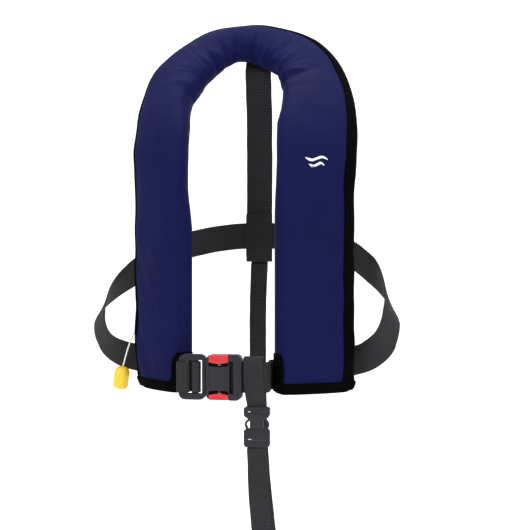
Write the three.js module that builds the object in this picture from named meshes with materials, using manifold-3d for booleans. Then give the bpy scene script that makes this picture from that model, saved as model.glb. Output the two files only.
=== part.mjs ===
// Inflatable life jacket as it hangs on a wearer, millimetres, +Z up, front towards -Y.
// The origin is the middle of the collar's inner edge, where it rests on the nape of the neck.
// Left and right are the wearer's: the right panel lies on -X and the left panel on +X.
import * as THREE from 'three';
import { mergeVertices } from 'three/addons/utils/BufferGeometryUtils.js';
import Module from 'manifold-3d';

const wasm = await Module();
wasm.setup();

// Driving dimensions
const clearance = 0.3;
const panelWidth = 100;
const panelThickness = 34;
const panelOffset = 102.8;
const panelBottom = -471;
const panelStraightTop = -215;
const coverWall = 2.2;
const liningThickness = 2;
const bandThickness = 1.5;
const bindingHeight = 11;
const webbing = 1.8;
const beltWidth = 38;
const crotchWidth = 25;
const beltHeight = -449;
const buckleDepth = -200;
const buckleHeight = 56;
const buckleThickness = 14;
const housingLeft = -28;
const housingRight = 16;
const tongueLeft = -63;
const clipX = 34;
const clipDepth = -197;
const clipTop = -485;
const clipWidth = 32;
const clipThickness = 9;
const bottleRadius = 12;
const bottleLength = 118;
const tubeRadius = 5;
const toggleRadius = 10.4;
const toggleLength = 31;
const cordRadius = 1;
const pullLine = new THREE.Vector3(0.355, 0.02, 0.934).normalize();

// Panel frames: across points to the outer edge, out points away from the chest
const panels = {
  left: { side: 1, turn: THREE.MathUtils.degToRad(30), depth: -155 },
  right: { side: -1, turn: THREE.MathUtils.degToRad(44), depth: -145 },
};

// Stations of the shoulders, from the top of each panel to the nape: centre, across, and how much wider and
// thicker than the panel they are
const shoulders = {
  left: [
    [[102.8, -148, -165], [0.89, 0.43, -0.13], 4, 1],
    [[101, -124, -123], [0.92, 0.35, -0.16], 4, 2],
    [[96, -94, -86], [0.94, 0.34, -0.08], -2, 3],
    [[86, -65, -57], [0.93, 0.34, 0.12], -12, 4],
    [[68, -37, -30], [0.85, 0.32, 0.42], -22, 4],
    [[42, -10, -10], [0.66, 0.32, 0.68], -33, 2],
    [[16, 6, 1], [0.42, 0.35, 0.84], -39, 1],
  ],
  right: [
    [[-100, -143, -161], [-0.81, 0.57, -0.14], 0, 1],
    [[-102, -119, -117], [-0.84, 0.43, -0.32], -4, 2],
    [[-101, -89, -82], [-0.92, 0.35, -0.18], -12, 4],
    [[-92, -59, -50], [-0.94, 0.3, 0.18], -20, 5],
    [[-74, -33, -27], [-0.85, 0.25, 0.46], -27, 4],
    [[-55, -9, -8], [-0.71, 0.23, 0.67], -33, 2],
    [[-33, 5, 3], [-0.44, 0.35, 0.83], -39, 1],
  ],
};
const nape = [[-6, 12, 7], [0, 0.47, 0.88], -41, 1];
const collarStart = 3;

const vec = (x, y, z) => new THREE.Vector3(x, y, z);
const jacket = new THREE.Group();
const napeAcross = vec(...nape[1]).normalize();
const napeWidth = panelWidth + nape[2];
const neckRest = vec(...nape[0]).addScaledVector(napeAcross, -napeWidth / 2);
jacket.position.copy(neckRest).negate();

const navy = { color: 0x1f2456, roughness: 0.75, metalness: 0 };
const black = { color: 0x141416, roughness: 0.85, metalness: 0 };
const strapGrey = { color: 0x2b2b2f, roughness: 0.85, metalness: 0 };
const plastic = { color: 0x2f3237, roughness: 0.45, metalness: 0 };
const red = { color: 0xd8232a, roughness: 0.4, metalness: 0 };
const yellow = { color: 0xf3c614, roughness: 0.4, metalness: 0 };
const white = { color: 0xeeeeea, roughness: 0.6, metalness: 0 };
const green = { color: 0x2f9b4a, roughness: 0.4, metalness: 0 };
const brass = { color: 0xb88a3c, roughness: 0.35, metalness: 1 };
const steel = { color: 0xb8bcc2, roughness: 0.3, metalness: 1 };
const rubber = { color: 0x101010, roughness: 0.9, metalness: 0 };
const bladderYellow = { color: 0xe8c21a, roughness: 0.5, metalness: 0 };

function add(name, geometry, finish, parent = jacket) {
  const mesh = new THREE.Mesh(geometry, new THREE.MeshStandardMaterial(finish));
  mesh.name = name;
  parent.add(mesh);
  return mesh;
}

// ---- solids ----

function toSolid(geometry) {
  const bare = new THREE.BufferGeometry();
  bare.setAttribute('position', geometry.getAttribute('position').clone());
  if (geometry.index) bare.setIndex(geometry.index.clone());
  const merged = mergeVertices(bare, 1e-4);
  return new wasm.Manifold(new wasm.Mesh({
    numProp: 3,
    vertProperties: new Float32Array(merged.getAttribute('position').array),
    triVerts: new Uint32Array(merged.index.array),
  }));
}

function fromSolid(solid) {
  const mesh = solid.getMesh();
  const geometry = new THREE.BufferGeometry();
  geometry.setAttribute('position', new THREE.BufferAttribute(mesh.vertProperties, 3));
  geometry.setIndex(new THREE.BufferAttribute(mesh.triVerts, 1));
  geometry.computeVertexNormals();
  return geometry;
}

function cut(geometry, ...tools) {
  let solid = toSolid(geometry);
  for (const tool of tools) solid = solid.subtract(toSolid(tool));
  return fromSolid(solid);
}

function join(geometry, ...others) {
  let solid = toSolid(geometry);
  for (const other of others) solid = solid.add(toSolid(other));
  return fromSolid(solid);
}

function box(x0, x1, y0, y1, z0, z1) {
  return new THREE.BoxGeometry(x1 - x0, y1 - y0, z1 - z0)
    .translate((x0 + x1) / 2, (y0 + y1) / 2, (z0 + z1) / 2);
}

// A rounded rectangle in X and Z, given its depth along Y
function slab(x0, x1, z0, z1, y0, y1, radius) {
  const shape = new THREE.Shape();
  shape.moveTo(x0 + radius, z0);
  shape.lineTo(x1 - radius, z0);
  shape.absarc(x1 - radius, z0 + radius, radius, -Math.PI / 2, 0);
  shape.absarc(x1 - radius, z1 - radius, radius, 0, Math.PI / 2);
  shape.absarc(x0 + radius, z1 - radius, radius, Math.PI / 2, Math.PI);
  shape.absarc(x0 + radius, z0 + radius, radius, Math.PI, Math.PI * 1.5);
  const depth = y1 - y0;
  return new THREE.ExtrudeGeometry(shape, { depth, bevelEnabled: false, curveSegments: 5 })
    .rotateX(Math.PI / 2)
    .translate(0, y1, 0);
}

// A turned piece about Z from [radius, z] pairs that start and end on the axis
function turned(profile, segments = 20) {
  return new THREE.LatheGeometry(profile.map(([r, z]) => new THREE.Vector2(r, z)), segments)
    .rotateX(Math.PI / 2);
}

function rod(radius, length, axis, segments = 16) {
  const geometry = new THREE.CylinderGeometry(radius, radius, length, segments);
  if (axis === 'z') geometry.rotateX(Math.PI / 2);
  if (axis === 'x') geometry.rotateZ(Math.PI / 2);
  return geometry;
}

function signedVolume(positions, index) {
  const [a, b, c] = [vec(), vec(), vec()];
  let volume = 0;
  for (let i = 0; i < index.length; i += 3) {
    a.fromArray(positions, index[i] * 3);
    b.fromArray(positions, index[i + 1] * 3);
    c.fromArray(positions, index[i + 2] * 3);
    volume += a.dot(b.cross(c)) / 6;
  }
  return volume;
}

// Closed body through the stations; outlineAt gives each station's outline as [across, out] pairs
function sweep(stations, outlineAt) {
  const outlines = stations.map(outlineAt);
  const count = outlines[0].length;
  const positions = [];
  stations.forEach((station, k) => {
    for (const [u, v] of outlines[k]) {
      const point = station.at.clone().addScaledVector(station.across, u).addScaledVector(station.out, v);
      positions.push(point.x, point.y, point.z);
    }
  });
  const index = [];
  for (let k = 0; k < stations.length - 1; k += 1) {
    for (let i = 0; i < count; i += 1) {
      const next = (i + 1) % count;
      const [a, b] = [k * count + i, k * count + next];
      const [near, far] = [outlines[k][i], outlines[k][next]];
      // every wall is split the same way, so that neighbours stay parallel where the sweep twists
      const rising = near[0] + near[1] * 1e-3 < far[0] + far[1] * 1e-3;
      if (rising) index.push(a, a + count, b + count, a, b + count, b);
      else index.push(a, a + count, b, b, a + count, b + count);
    }
  }
  const last = stations.length - 1;
  for (const [k, reversed] of [[0, false], [last, true]]) {
    const contour = outlines[k].map(([u, v]) => new THREE.Vector2(u, v));
    const flipped = THREE.ShapeUtils.area(contour) < 0;
    for (const [a, b, c] of THREE.ShapeUtils.triangulateShape(contour, [])) {
      const area = (contour[b].x - contour[a].x) * (contour[c].y - contour[a].y)
        - (contour[c].x - contour[a].x) * (contour[b].y - contour[a].y);
      const turn = (area < 0) !== flipped;
      const face = turn !== reversed ? [a, c, b] : [a, b, c];
      index.push(...face.map((i) => i + k * count));
    }
  }
  if (signedVolume(positions, index) < 0) {
    for (let i = 0; i < index.length; i += 3) [index[i + 1], index[i + 2]] = [index[i + 2], index[i + 1]];
  }
  const geometry = new THREE.BufferGeometry();
  geometry.setAttribute('position', new THREE.Float32BufferAttribute(positions, 3));
  geometry.setIndex(index);
  geometry.computeVertexNormals();
  return geometry;
}

// Webbing along a smooth line; across is the direction that its width follows
function ribbon(points, across, width, steps, thickness = webbing) {
  const curve = new THREE.CatmullRomCurve3(points, false, 'centripetal');
  const stations = [];
  for (let k = 0; k <= steps; k += 1) {
    const t = k / steps;
    const tangent = curve.getTangentAt(t);
    const out = tangent.clone().cross(across).normalize();
    stations.push({ at: curve.getPointAt(t), across: out.clone().cross(tangent).normalize(), out });
  }
  const [w, h] = [width / 2, thickness / 2];
  return sweep(stations, () => [[-w, -h], [w, -h], [w, h], [-w, h]]);
}

// ---- horseshoe ----

function panelFrame({ side, turn }) {
  return {
    across: vec(side * Math.cos(turn), Math.sin(turn), 0),
    out: vec(side * Math.sin(turn), -Math.cos(turn), 0),
  };
}

// A point beside a panel: u towards its outer edge, v away from the chest, at height z
function atPanel(panel, u, v, z) {
  const { across, out } = panelFrame(panel);
  return vec(panel.side * panelOffset, panel.depth, z).addScaledVector(across, u).addScaledVector(out, v);
}

// The toggle hangs beside the right panel's outer edge, in front of the belt
const toggleTop = atPanel(panels.right, panelWidth / 2 + 17.84, beltWidth / 5 + 9.54, -447);

function straightStations(name, heights) {
  const panel = panels[name];
  const { across, out } = panelFrame(panel);
  return heights.map((z) => ({
    at: atPanel(panel, 0, 0, z), across, out, width: panelWidth, thickness: panelThickness, side: panel.side,
  }));
}

// Every station of one half, from the bottom of the panel to the nape, with square frames
function halfStations(name) {
  const { side } = panels[name];
  const curved = [...shoulders[name], nape].map(([at, across, wider, thicker]) => ({
    at: vec(...at), across: vec(...across), width: panelWidth + wider, thickness: panelThickness + thicker, side,
  }));
  const all = [...straightStations(name, [panelBottom, panelStraightTop]), ...curved];
  curved.forEach((station, i) => {
    const k = i + 2;
    const next = all[k + 1] ? all[k + 1].at : station.at.clone().add(vec(-side, 0, 0));
    const before = all[k + 1] ? all[k - 1].at : station.at;
    const tangent = next.clone().sub(before).normalize();
    station.across = station === curved[curved.length - 1]
      ? napeAcross.clone()
      : station.across.addScaledVector(tangent, -station.across.dot(tangent)).normalize();
    station.out = tangent.clone().cross(station.across).multiplyScalar(-side).normalize();
  });
  return all;
}

// Twice as many stations, on a smooth line through the given ones
function refined(stations) {
  const curve = new THREE.CatmullRomCurve3(stations.map((station) => station.at), false, 'centripetal');
  const result = [];
  stations.forEach((station, k) => {
    result.push(station);
    const next = stations[k + 1];
    if (!next) return;
    const tangent = curve.getTangent((k + 0.5) / (stations.length - 1));
    const across = station.across.clone().add(next.across);
    across.addScaledVector(tangent, -across.dot(tangent)).normalize();
    const out = tangent.clone().cross(across);
    if (out.dot(station.out) < 0) out.negate();
    result.push({
      ...station,
      at: curve.getPoint((k + 0.5) / (stations.length - 1)),
      across,
      out: out.normalize(),
      width: (station.width + next.width) / 2,
      thickness: (station.thickness + next.thickness) / 2,
    });
  });
  return result;
}

const halves = { left: halfStations('left'), right: halfStations('right') };
const collarEnd = 1 + collarStart;
// One run of stations goes from the top of the left panel over the nape to the top of the right one,
// and every piece of the horseshoe follows it in that direction
const shoulderRun = refined([...halves.left.slice(1), ...halves.right.slice(1, -1).reverse()]);
const collarFrom = 2 * (collarEnd - 1);
const collarStations = shoulderRun.slice(collarFrom, shoulderRun.length - collarFrom);
const panelStations = {
  left: [halves.left[0], ...shoulderRun.slice(0, collarFrom + 1)],
  right: [...shoulderRun.slice(shoulderRun.length - collarFrom - 1), halves.right[0]],
};

// The two ends of a run of stations, pulled back along it by a gap
function shortened(stations, startGap, endGap) {
  const moved = stations.map((station) => ({ ...station, at: station.at.clone() }));
  const slide = (from, to, gap) => from.at.add(to.at.clone().sub(from.at).setLength(gap));
  if (startGap) slide(moved[0], stations[1], startGap);
  if (endGap) slide(moved[moved.length - 1], stations[stations.length - 2], endGap);
  return moved;
}

// Front of the cover: a crowned arc between two straight sides, set in by an inset
function archOutline(station, inset) {
  const [a, b] = [station.width / 2 - inset, station.thickness / 2 - inset];
  const [steps, power] = [12, 2 / 2.8];
  const points = [];
  for (let i = 0; i <= steps; i += 1) {
    const angle = (Math.PI * i) / steps;
    const [c, s] = [Math.cos(angle), Math.sin(angle)];
    points.push([a * Math.sign(c) * Math.abs(c) ** power, b * Math.abs(s) ** power]);
  }
  return points;
}

function backLine(station) {
  return -station.thickness / 2;
}

// A closed block of the cover's full shape, grown or set in
function blockOutline(station, inset) {
  const [first, back] = [station.width / 2 - inset, backLine(station) + inset];
  return [[first, back], ...archOutline(station, inset), [-first, back]];
}

// The cover itself: a wall along the front and both sides, open towards the chest
function shellOutline(station) {
  const inner = archOutline(station, coverWall).reverse();
  const [a, back] = [station.width / 2, backLine(station)];
  return [
    [a, back], ...archOutline(station, 0), [-a, back],
    [-a + coverWall, back], ...inner, [a - coverWall, back],
  ];
}

function liningOutline(station) {
  const [a, top] = [station.width / 2, backLine(station) - clearance];
  return [[-a, top - liningThickness], [a, top - liningThickness], [a, top], [-a, top]];
}

function bandOutline(station) {
  const near = station.width / 2 + clearance;
  const [low, high] = [backLine(station) - clearance - liningThickness, 0];
  return [[near, low], [near + bandThickness, low], [near + bandThickness, high], [near, high]];
}

function addHorseshoe() {
  const slot = pullSlot();
  for (const name of ['right', 'left']) {
    const gaps = name === 'right' ? [clearance, 0] : [0, clearance];
    const stations = shortened(panelStations[name], ...gaps);
    const endWall = straightStations(name, [panelBottom, panelBottom + coverWall]);
    const tray = join(sweep(stations, shellOutline), sweep(endWall, (s) => blockOutline(s, 0)));
    const band = sweep(stations, bandOutline);
    add(`${name}_cover`, name === 'right' ? cut(tray, slot) : tray, navy);
    add(`${name}_back_lining`, sweep(stations, liningOutline), black);
    add(`${name}_edge_band`, name === 'right' ? cut(band, slot) : band, black);
    add(`${name}_bottom_binding`, bottomBinding(name), black);
    add(`${name}_corner_patch`, cornerPatch(name), black);
    add(`${name}_belt_sleeve`, beltSleeve(name), black);
  }
  const collar = collarStations;
  add('collar_cover', sweep(collar, shellOutline), navy);
  add('collar_back_lining', sweep(collar, liningOutline), black);
  add('collar_edge_band', sweep(collar, bandOutline), black);
}

// Opening in the right outer edge that the pull cord comes out of
function pullSlot() {
  const panel = panels.right;
  const middle = toggleTop.clone().addScaledVector(pullLine, 62);
  return new THREE.BoxGeometry(16, 16, 46)
    .rotateZ(panel.side * panel.turn)
    .translate(middle.x, middle.y, middle.z);
}

// Cup of binding tape that closes the foot of a panel
function bottomBinding(name) {
  const lift = bindingHeight;
  const z = panelBottom;
  const grow = 2 * clearance + bandThickness;
  const outer = straightStations(name, [z - clearance - bandThickness, z + lift]);
  const inner = straightStations(name, [z - clearance, z + lift + 1]);
  const behind = straightStations(name, [z - 10, z + lift + 10]);
  return cut(
    sweep(outer, (s) => blockOutline(s, -grow - bandThickness)),
    sweep(inner, (s) => blockOutline(s, -grow)),
    sweep(behind, (s) => [[-s.width, backLine(s)], [s.width, backLine(s)], [s.width, -40], [-s.width, -40]]),
  );
}

// Reinforcement on the lower inner corner, lying on the cover
function cornerPatch(name) {
  const low = panelBottom + bindingHeight + 1;
  const stations = straightStations(name, [low, low + 40]);
  const lift = clearance + bandThickness;
  return sweep(stations, (s) => {
    const near = archOutline(s, -clearance).slice(8);
    const far = archOutline(s, -lift).slice(8).reverse();
    const back = backLine(s);
    return [...near, [-s.width / 2 - clearance, back], [-s.width / 2 - lift, back], ...far];
  });
}

// ---- harness ----

const sleeveGap = 4;
const sleeveHeight = beltWidth + 14;

// How far behind a panel's middle the belt runs
const beltBehind = panelThickness / 2 + 2 * clearance + liningThickness + (sleeveGap + webbing) / 2;

// Flat tunnel on the back of a panel, open at both ends
function beltSleeve(name) {
  const panel = panels[name];
  const back = -panelThickness / 2 - liningThickness - 2 * clearance;
  const deep = sleeveGap + webbing;
  const wall = 1.2;
  const low = beltHeight - beltWidth / 2 - wall - 2 * clearance;
  const [high, half] = [low + sleeveHeight, panelWidth / 2 - 20];
  const outline = [
    [low, back], [low, back - deep - wall], [high, back - deep - wall], [high, back],
    [high - wall, back], [high - wall, back - deep], [low + wall, back - deep], [low + wall, back],
  ];
  const { out } = panelFrame(panel);
  const stations = [-half, half].map((u) => ({ at: atPanel(panel, u, 0, 0), across: vec(0, 0, 1), out }));
  return sweep(stations, () => outline);
}

function beltPoints() {
  const { left, right } = panels;
  const [near, far] = [panelWidth / 2 + 5, panelWidth / 2];
  return [
    // from the housing, round the left panel's inner edge and behind it
    vec(housingRight - 12, buckleDepth, beltHeight),
    vec(housingRight + 6, buckleDepth + 0.5, beltHeight),
    vec(41, -199, beltHeight),
    vec(46.5, -193.5, beltHeight),
    vec(47.5, -180, beltHeight),
    atPanel(left, -near, -beltBehind + 2, beltHeight),
    atPanel(left, -near + 14, -beltBehind, beltHeight),
    atPanel(left, 0, -beltBehind, beltHeight + 2),
    atPanel(left, far - 12, -beltBehind, beltHeight + 6),
    atPanel(left, far + 4, -beltBehind - 1, beltHeight + 11),
    vec(166, -112, -428),
    vec(188, -122, -405),
    vec(195, -108, -378),
    vec(188, -80, -350),
    vec(165, -36, -318),
    vec(120, 12, -288),
    vec(60, 36, -272),
    vec(0, 39, -268),
    vec(-60, 36, -272),
    vec(-120, 12, -288),
    vec(-166, -36, -320),
    vec(-192, -74, -352),
    vec(-200, -98, -384),
    vec(-190, -109, -410),
    vec(-168, -101, -430),
    atPanel(right, far + 2, -beltBehind - 2, beltHeight + 8),
    atPanel(right, far - 12, -beltBehind, beltHeight + 4),
    atPanel(right, 0, -beltBehind, beltHeight),
    atPanel(right, -near + 14, -beltBehind, beltHeight),
    atPanel(right, -near, -beltBehind + 1, beltHeight),
    vec(-48.5, -178, beltHeight),
    vec(-50, buckleDepth + 14.5, beltHeight),
    vec(-54, buckleDepth + 9.2, beltHeight),
  ];
}

function addHarness() {
  add('waist_belt', ribbon(beltPoints(), vec(0, 0, 1), beltWidth, 110), strapGrey);
  const backOfCollar = -(panelThickness + nape[3]) / 2 - liningThickness - 2 * clearance - webbing / 2 - 1.2;
  const napeOut = vec(0, -napeAcross.z, napeAcross.y);
  const onCollar = (u) => vec(0, nape[0][1], nape[0][2])
    .addScaledVector(napeAcross, u).addScaledVector(napeOut, backOfCollar);
  const strap = [
    onCollar(10), onCollar(-12), onCollar(-napeWidth / 2 - 1),
    vec(0, 20, -50), vec(0, 28, -100), vec(-1, 36, -180), vec(-2, 41.5, -240), vec(-2, 42, -306),
  ];
  add('back_strap', ribbon(strap, vec(1, 0, 0), beltWidth, 24), strapGrey);
  const loop = [vec(-2, 39.4, -236), vec(-2, 36.6, -246), vec(-2, 36, -268), vec(-2, 36.6, -290),
    vec(-2, 38, -300), vec(-2, 39.6, -306)];
  add('back_strap_loop', ribbon(loop, vec(1, 0, 0), beltWidth + 1, 10), strapGrey);
  addCrotchStraps();
}

// Crotch strap: front run on the clip, back run from the back strap, cut in two where it turns
function addCrotchStraps() {
  const depth = clipDepth;
  const loopTop = beltHeight + beltWidth / 2 + 6;
  const loopWaist = beltHeight - beltWidth / 2 - 3;
  const turnBottom = vec(26, -46, -722);
  const loop = [
    vec(30, depth - 1.1, clipTop - 3.4), vec(30, depth - 1.2, clipTop + 2), vec(30, depth - 4.5, loopWaist),
    vec(30, depth - 6.5, beltHeight), vec(30, depth - 6, loopTop - 5),
    vec(30, depth + 0.5, loopTop), vec(30, depth + 5, loopTop - 5),
    vec(30, depth + 5.5, beltHeight), vec(30, depth + 5.2, loopWaist), vec(30, depth + 1.2, clipTop + 2),
    vec(30, depth + 1.1, clipTop - 3.4),
  ].map((point) => point.setX(clipX - THREE.MathUtils.clamp((point.z - clipTop) * 0.12, 0, 4)));
  add('crotch_loop', ribbon(loop, vec(1, 0, 0), crotchWidth, 48), strapGrey);
  const front = [
    vec(clipX, depth + 0.6, clipTop - 47), vec(clipX + 0.5, depth + 0.2, clipTop - 60), vec(36, -191, -600),
    vec(37, -166, -655), vec(34, -112, -700), vec(30, -74, -717), turnBottom,
  ];
  const back = [
    turnBottom.clone().add(vec(-0.1, 1, 0.05)), vec(22, -18, -716), vec(12, 22, -690), vec(3, 42, -640),
    vec(-4, 50, -560), vec(-6, 50, -450), vec(-5, 47, -360), vec(-3, 45.2, -320), vec(-2, 44.6, -288),
  ];
  add('crotch_strap_front', ribbon(front, vec(1, 0, 0), crotchWidth, 22), strapGrey);
  add('crotch_strap_back', ribbon(back, vec(1, 0, 0), crotchWidth, 34), strapGrey);
  const fold = [vec(-2.5, 42.6, -309), vec(-3.2, 42.7, -322), vec(-4, 44.2, -340), vec(-4.5, 44.6, -356)];
  add('crotch_back_fold', ribbon(fold, vec(1, 0, 0), crotchWidth, 4), strapGrey);
  const lead = webbing + clearance + 0.3;
  const tail = [
    vec(clipX, depth - lead, clipTop - 50.5), vec(clipX + 0.5, depth - lead, clipTop - 62), vec(35.6, -194.6, -600),
    vec(36.5, -180.5, -638), vec(36.8, -175.8, -650),
  ];
  add('crotch_strap_tail', ribbon(tail, vec(1, 0, 0), crotchWidth, 10), strapGrey);
}

// ---- waist buckle ----

const bladeHalf = 10.5;
const bladeThick = 6;
const buttonLeft = -25;
const buttonRight = 0;
const pocketFloor = 13;
const buttonInner = 21;
const buttonProud = 2;

function buckleGroup() {
  const group = new THREE.Group();
  group.position.set(0, buckleDepth, beltHeight);
  jacket.add(group);
  return group;
}

function addWaistBuckle() {
  const group = buckleGroup();
  const [h, t] = [buckleHeight / 2, buckleThickness / 2];
  const slotHalf = beltWidth / 2 + 0.8;
  const pocket = (sign) => {
    const [low, high] = sign > 0 ? [pocketFloor, h + 1] : [-h - 1, -pocketFloor];
    return box(buttonLeft, buttonRight, -t + 2.2, t - 2.2, low, high);
  };
  const housing = cut(
    slab(housingLeft, housingRight, -h, h, -t, t, 7),
    box(housingLeft - 1, -3, -bladeThick / 2 - 0.4, bladeThick / 2 + 0.4, -bladeHalf - 0.5, bladeHalf + 0.5),
    box(1, housingRight + 1, -2.6, 2.6, -slotHalf, slotHalf),
    box(1, 6, -t - 1, 0, -slotHalf, slotHalf),
    pocket(1),
    pocket(-1),
  );
  add('buckle_housing', housing, plastic, group);
  const frame = cut(
    slab(tongueLeft, housingLeft - 1, -h, h, -5, 5, 8),
    box(-53, -33.5, -6, 6, -slotHalf - 1, slotHalf + 1),
  );
  const tongue = join(
    frame,
    box(-47, -39, -2.5, 2.5, -slotHalf - 2, slotHalf + 2),
    cut(
      box(-34, -5, -bladeThick / 2, bladeThick / 2, -bladeHalf, bladeHalf),
      box(-27, -4, -4, 4, 4.5, 6),
      box(-27, -4, -4, 4, -6, -4.5),
    ),
  );
  add('buckle_tongue', tongue, plastic, group);
  for (const [name, sign] of [['upper', 1], ['lower', -1]]) {
    const [low, high] = sign > 0 ? [buttonInner, h + buttonProud] : [-h - buttonProud, -buttonInner];
    const [x0, x1] = [buttonLeft + clearance, buttonRight - clearance];
    add(`release_button_${name}`, slab(x0, x1, low, high, -t + 2.5, t - 2.5, 1.6), red, group);
    add(`button_spring_${name}`, buttonSpring(sign), steel, group);
  }
  add('tongue_webbing', tongueWebbing(), strapGrey, group);
}

function buttonSpring(sign) {
  const [radius, wire, turns] = [2.4, 0.45, 4];
  const [low, high] = [pocketFloor + clearance + wire, buttonInner - clearance - wire];
  const coil = new THREE.Curve();
  coil.getPoint = (t, target = vec()) => target.set(
    (buttonLeft + buttonRight) / 2 + radius * Math.cos(2 * Math.PI * turns * t),
    radius * Math.sin(2 * Math.PI * turns * t),
    sign * (low + (high - low) * t),
  );
  const section = new THREE.Shape().absarc(0, 0, wire, 0, Math.PI * 2);
  return new THREE.ExtrudeGeometry(section, { steps: turns * 10, extrudePath: coil, curveSegments: 3 });
}

// The belt's end on the tongue: round the end bar, behind the middle bar and back over it
function tongueWebbing() {
  const line = [
    [-54.6, 8.6], [-57, 7.7], [-61.5, 7], [-64.7, 6], [-65.4, 3], [-65.4, 0], [-65.2, -4],
    [-64.2, -6.4], [-61, -6.9], [-55.2, -6.8], [-51.8, -6], [-50.4, -3.4], [-50, -0.6], [-48.6, 3.2],
    [-46, 4.3], [-43, 4.4], [-39.5, 4.1], [-37.4, 2.4], [-36.9, 0], [-37.4, -2.4], [-39.6, -4.1],
    [-43, -4.4], [-46.2, -4.2],
  ];
  return ribbon(line.map(([x, y]) => vec(x, y, 0)), vec(0, 0, 1), beltWidth, 44);
}

// ---- crotch clip ----

function addCrotchClip() {
  const group = new THREE.Group();
  group.position.set(clipX, clipDepth, clipTop);
  jacket.add(group);
  const [w, t] = [clipWidth / 2, clipThickness / 2];
  const slot = crotchWidth / 2 + 0.5;
  const male = cut(
    join(
      slab(-w, w, -12, 0, -t, t, 3),
      slab(-12, 12, -15, -10, -t + 1, t - 1, 1.5),
      slab(-4, 4, -36, -13, -2.4, 2.4, 2),
    ),
    box(-slot, slot, -2.4, 2.4, -4, 1),
    box(-11.5, 11.5, -t - 1, t + 1, -7.5, -5.4),
  );
  add('crotch_clip_male', male, plastic, group);
  for (const [name, side] of [['left', 1], ['right', -1]]) {
    add(`crotch_prong_${name}`, clipProng(side), plastic, group);
  }
  const female = cut(
    slab(-w, w, -49.5, -27, -t, t, 4),
    box(-13.6, 13.6, -3, 3, -38, -26),
    box(-slot, slot, -2.4, 2.4, -50, -46),
    box(-12, 12, -t - 1, t + 1, -41.4, -39.4),
  );
  add('crotch_clip_female', female, plastic, group);
}

// A bowed latch arm that reaches from the male half into the female half
function clipProng(side) {
  const bow = [
    vec(side * 9.8, 0, -16.4), vec(side * 12.6, 0, -18), vec(side * 14, 0, -22),
    vec(side * 12, 0, -27.5), vec(side * 11.2, 0, -32), vec(side * 11.4, 0, -36),
  ];
  return ribbon(bow, vec(0, 1, 0), 4.8, 12, 2.6);
}

// ---- inflation system, in the frame of the panel that carries it ----

function panelGroup(name) {
  const panel = panels[name];
  const group = new THREE.Group();
  group.position.set(panel.side * panelOffset, panel.depth, 0);
  group.rotation.z = panel.side * panel.turn;
  jacket.add(group);
  return group;
}

const inflatorSetBack = panelThickness / 2 - 14.6;
const inflatorTop = -350;
const inflatorBottom = -400;
const bottleX = 2;
const bottleY = 14 - bottleRadius;
const bodyFront = bottleY - 8;
const leverX = -19;
const leverZ = -392;

function addInflator() {
  const group = panelGroup('right');
  group.translateY(inflatorSetBack);
  const bore = (radius, low, high) => rod(radius, high - low, 'z').translate(bottleX, bottleY, (low + high) / 2);
  const stemX = 15;
  const stemZ = -388;
  const stem = (radius, low, high) => rod(radius, high - low, 'y').translate(stemX, (low + high) / 2, stemZ);
  const body = cut(
    slab(-24, 24, inflatorBottom, inflatorTop, bodyFront, 12, 6),
    bore(6.9, inflatorTop - 12, inflatorTop + 1),
    bore(3.1, inflatorTop - 34, inflatorTop - 11),
    box(-26, leverX + 6.5, -2.6, 2.6, inflatorBottom - 1, leverZ + 13),
    rod(1.9, 16, 'y').translate(leverX, 0, leverZ),
    stem(5.4, bodyFront - 1, 13),
  );
  add('inflator_body', body, plastic, group);
  const neck = 6.5;
  const bottleLow = inflatorTop - 8.5;
  const bottleHigh = bottleLow + bottleLength;
  const shoulder = bottleLow + 22;
  add('gas_bottle', turned([
    [0, bottleLow], [neck - 1, bottleLow], [neck, bottleLow + 1.5], [neck, bottleLow + 12],
    [bottleRadius - 2, shoulder - 4], [bottleRadius, shoulder], [bottleRadius, bottleHigh - 7],
    [bottleRadius - 3, bottleHigh - 1.5], [0, bottleHigh],
  ]).translate(bottleX, bottleY, 0), steel, group);
  const gasketLow = inflatorTop - 12 + clearance;
  add('bottle_gasket', cut(
    rod(neck, 2.6, 'z').translate(bottleX, bottleY, gasketLow + 1.3),
    rod(3.2, 6, 'z').translate(bottleX, bottleY, gasketLow + 1.3),
  ), rubber, group);
  const pinLow = inflatorTop - 26;
  add('firing_pin', turned([
    [0, pinLow], [2.8, pinLow], [2.8, pinLow + 3], [1.2, pinLow + 3], [1.2, pinLow + 10], [0, pinLow + 13],
  ], 12).translate(bottleX, bottleY, 0), brass, group);
  add('pin_spring', pinSpring(pinLow), steel, group);
  add('lever_pivot_pin', rod(1.6, 15, 'y').translate(leverX, 0, leverZ), steel, group);
  add('firing_lever', firingLever(), yellow, group);
  const capTop = inflatorBottom - clearance;
  add('water_cartridge', turned([
    [0, capTop - 19], [9.5, capTop - 19], [11, capTop - 17], [11, capTop - 4], [9, capTop - 3], [9, capTop], [0, capTop],
  ]).translate(bottleX + 8, bottleY + 1, 0), green, group);
  add('status_clip', slab(-16, -4, -372, -362, bodyFront - 2.2, bodyFront - clearance, 2), green, group);
  add('manifold_stem', join(stem(5, bodyFront - 4.5, 14), stem(9, 12 + clearance, 14.5)), brass, group);
  add('manifold_nut', cut(
    new THREE.CylinderGeometry(9, 9, 3.8, 6).translate(stemX, bodyFront - clearance - 1.9, stemZ),
    stem(5.3, bodyFront - 8, bodyFront + 6),
  ), brass, group);
}

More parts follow.
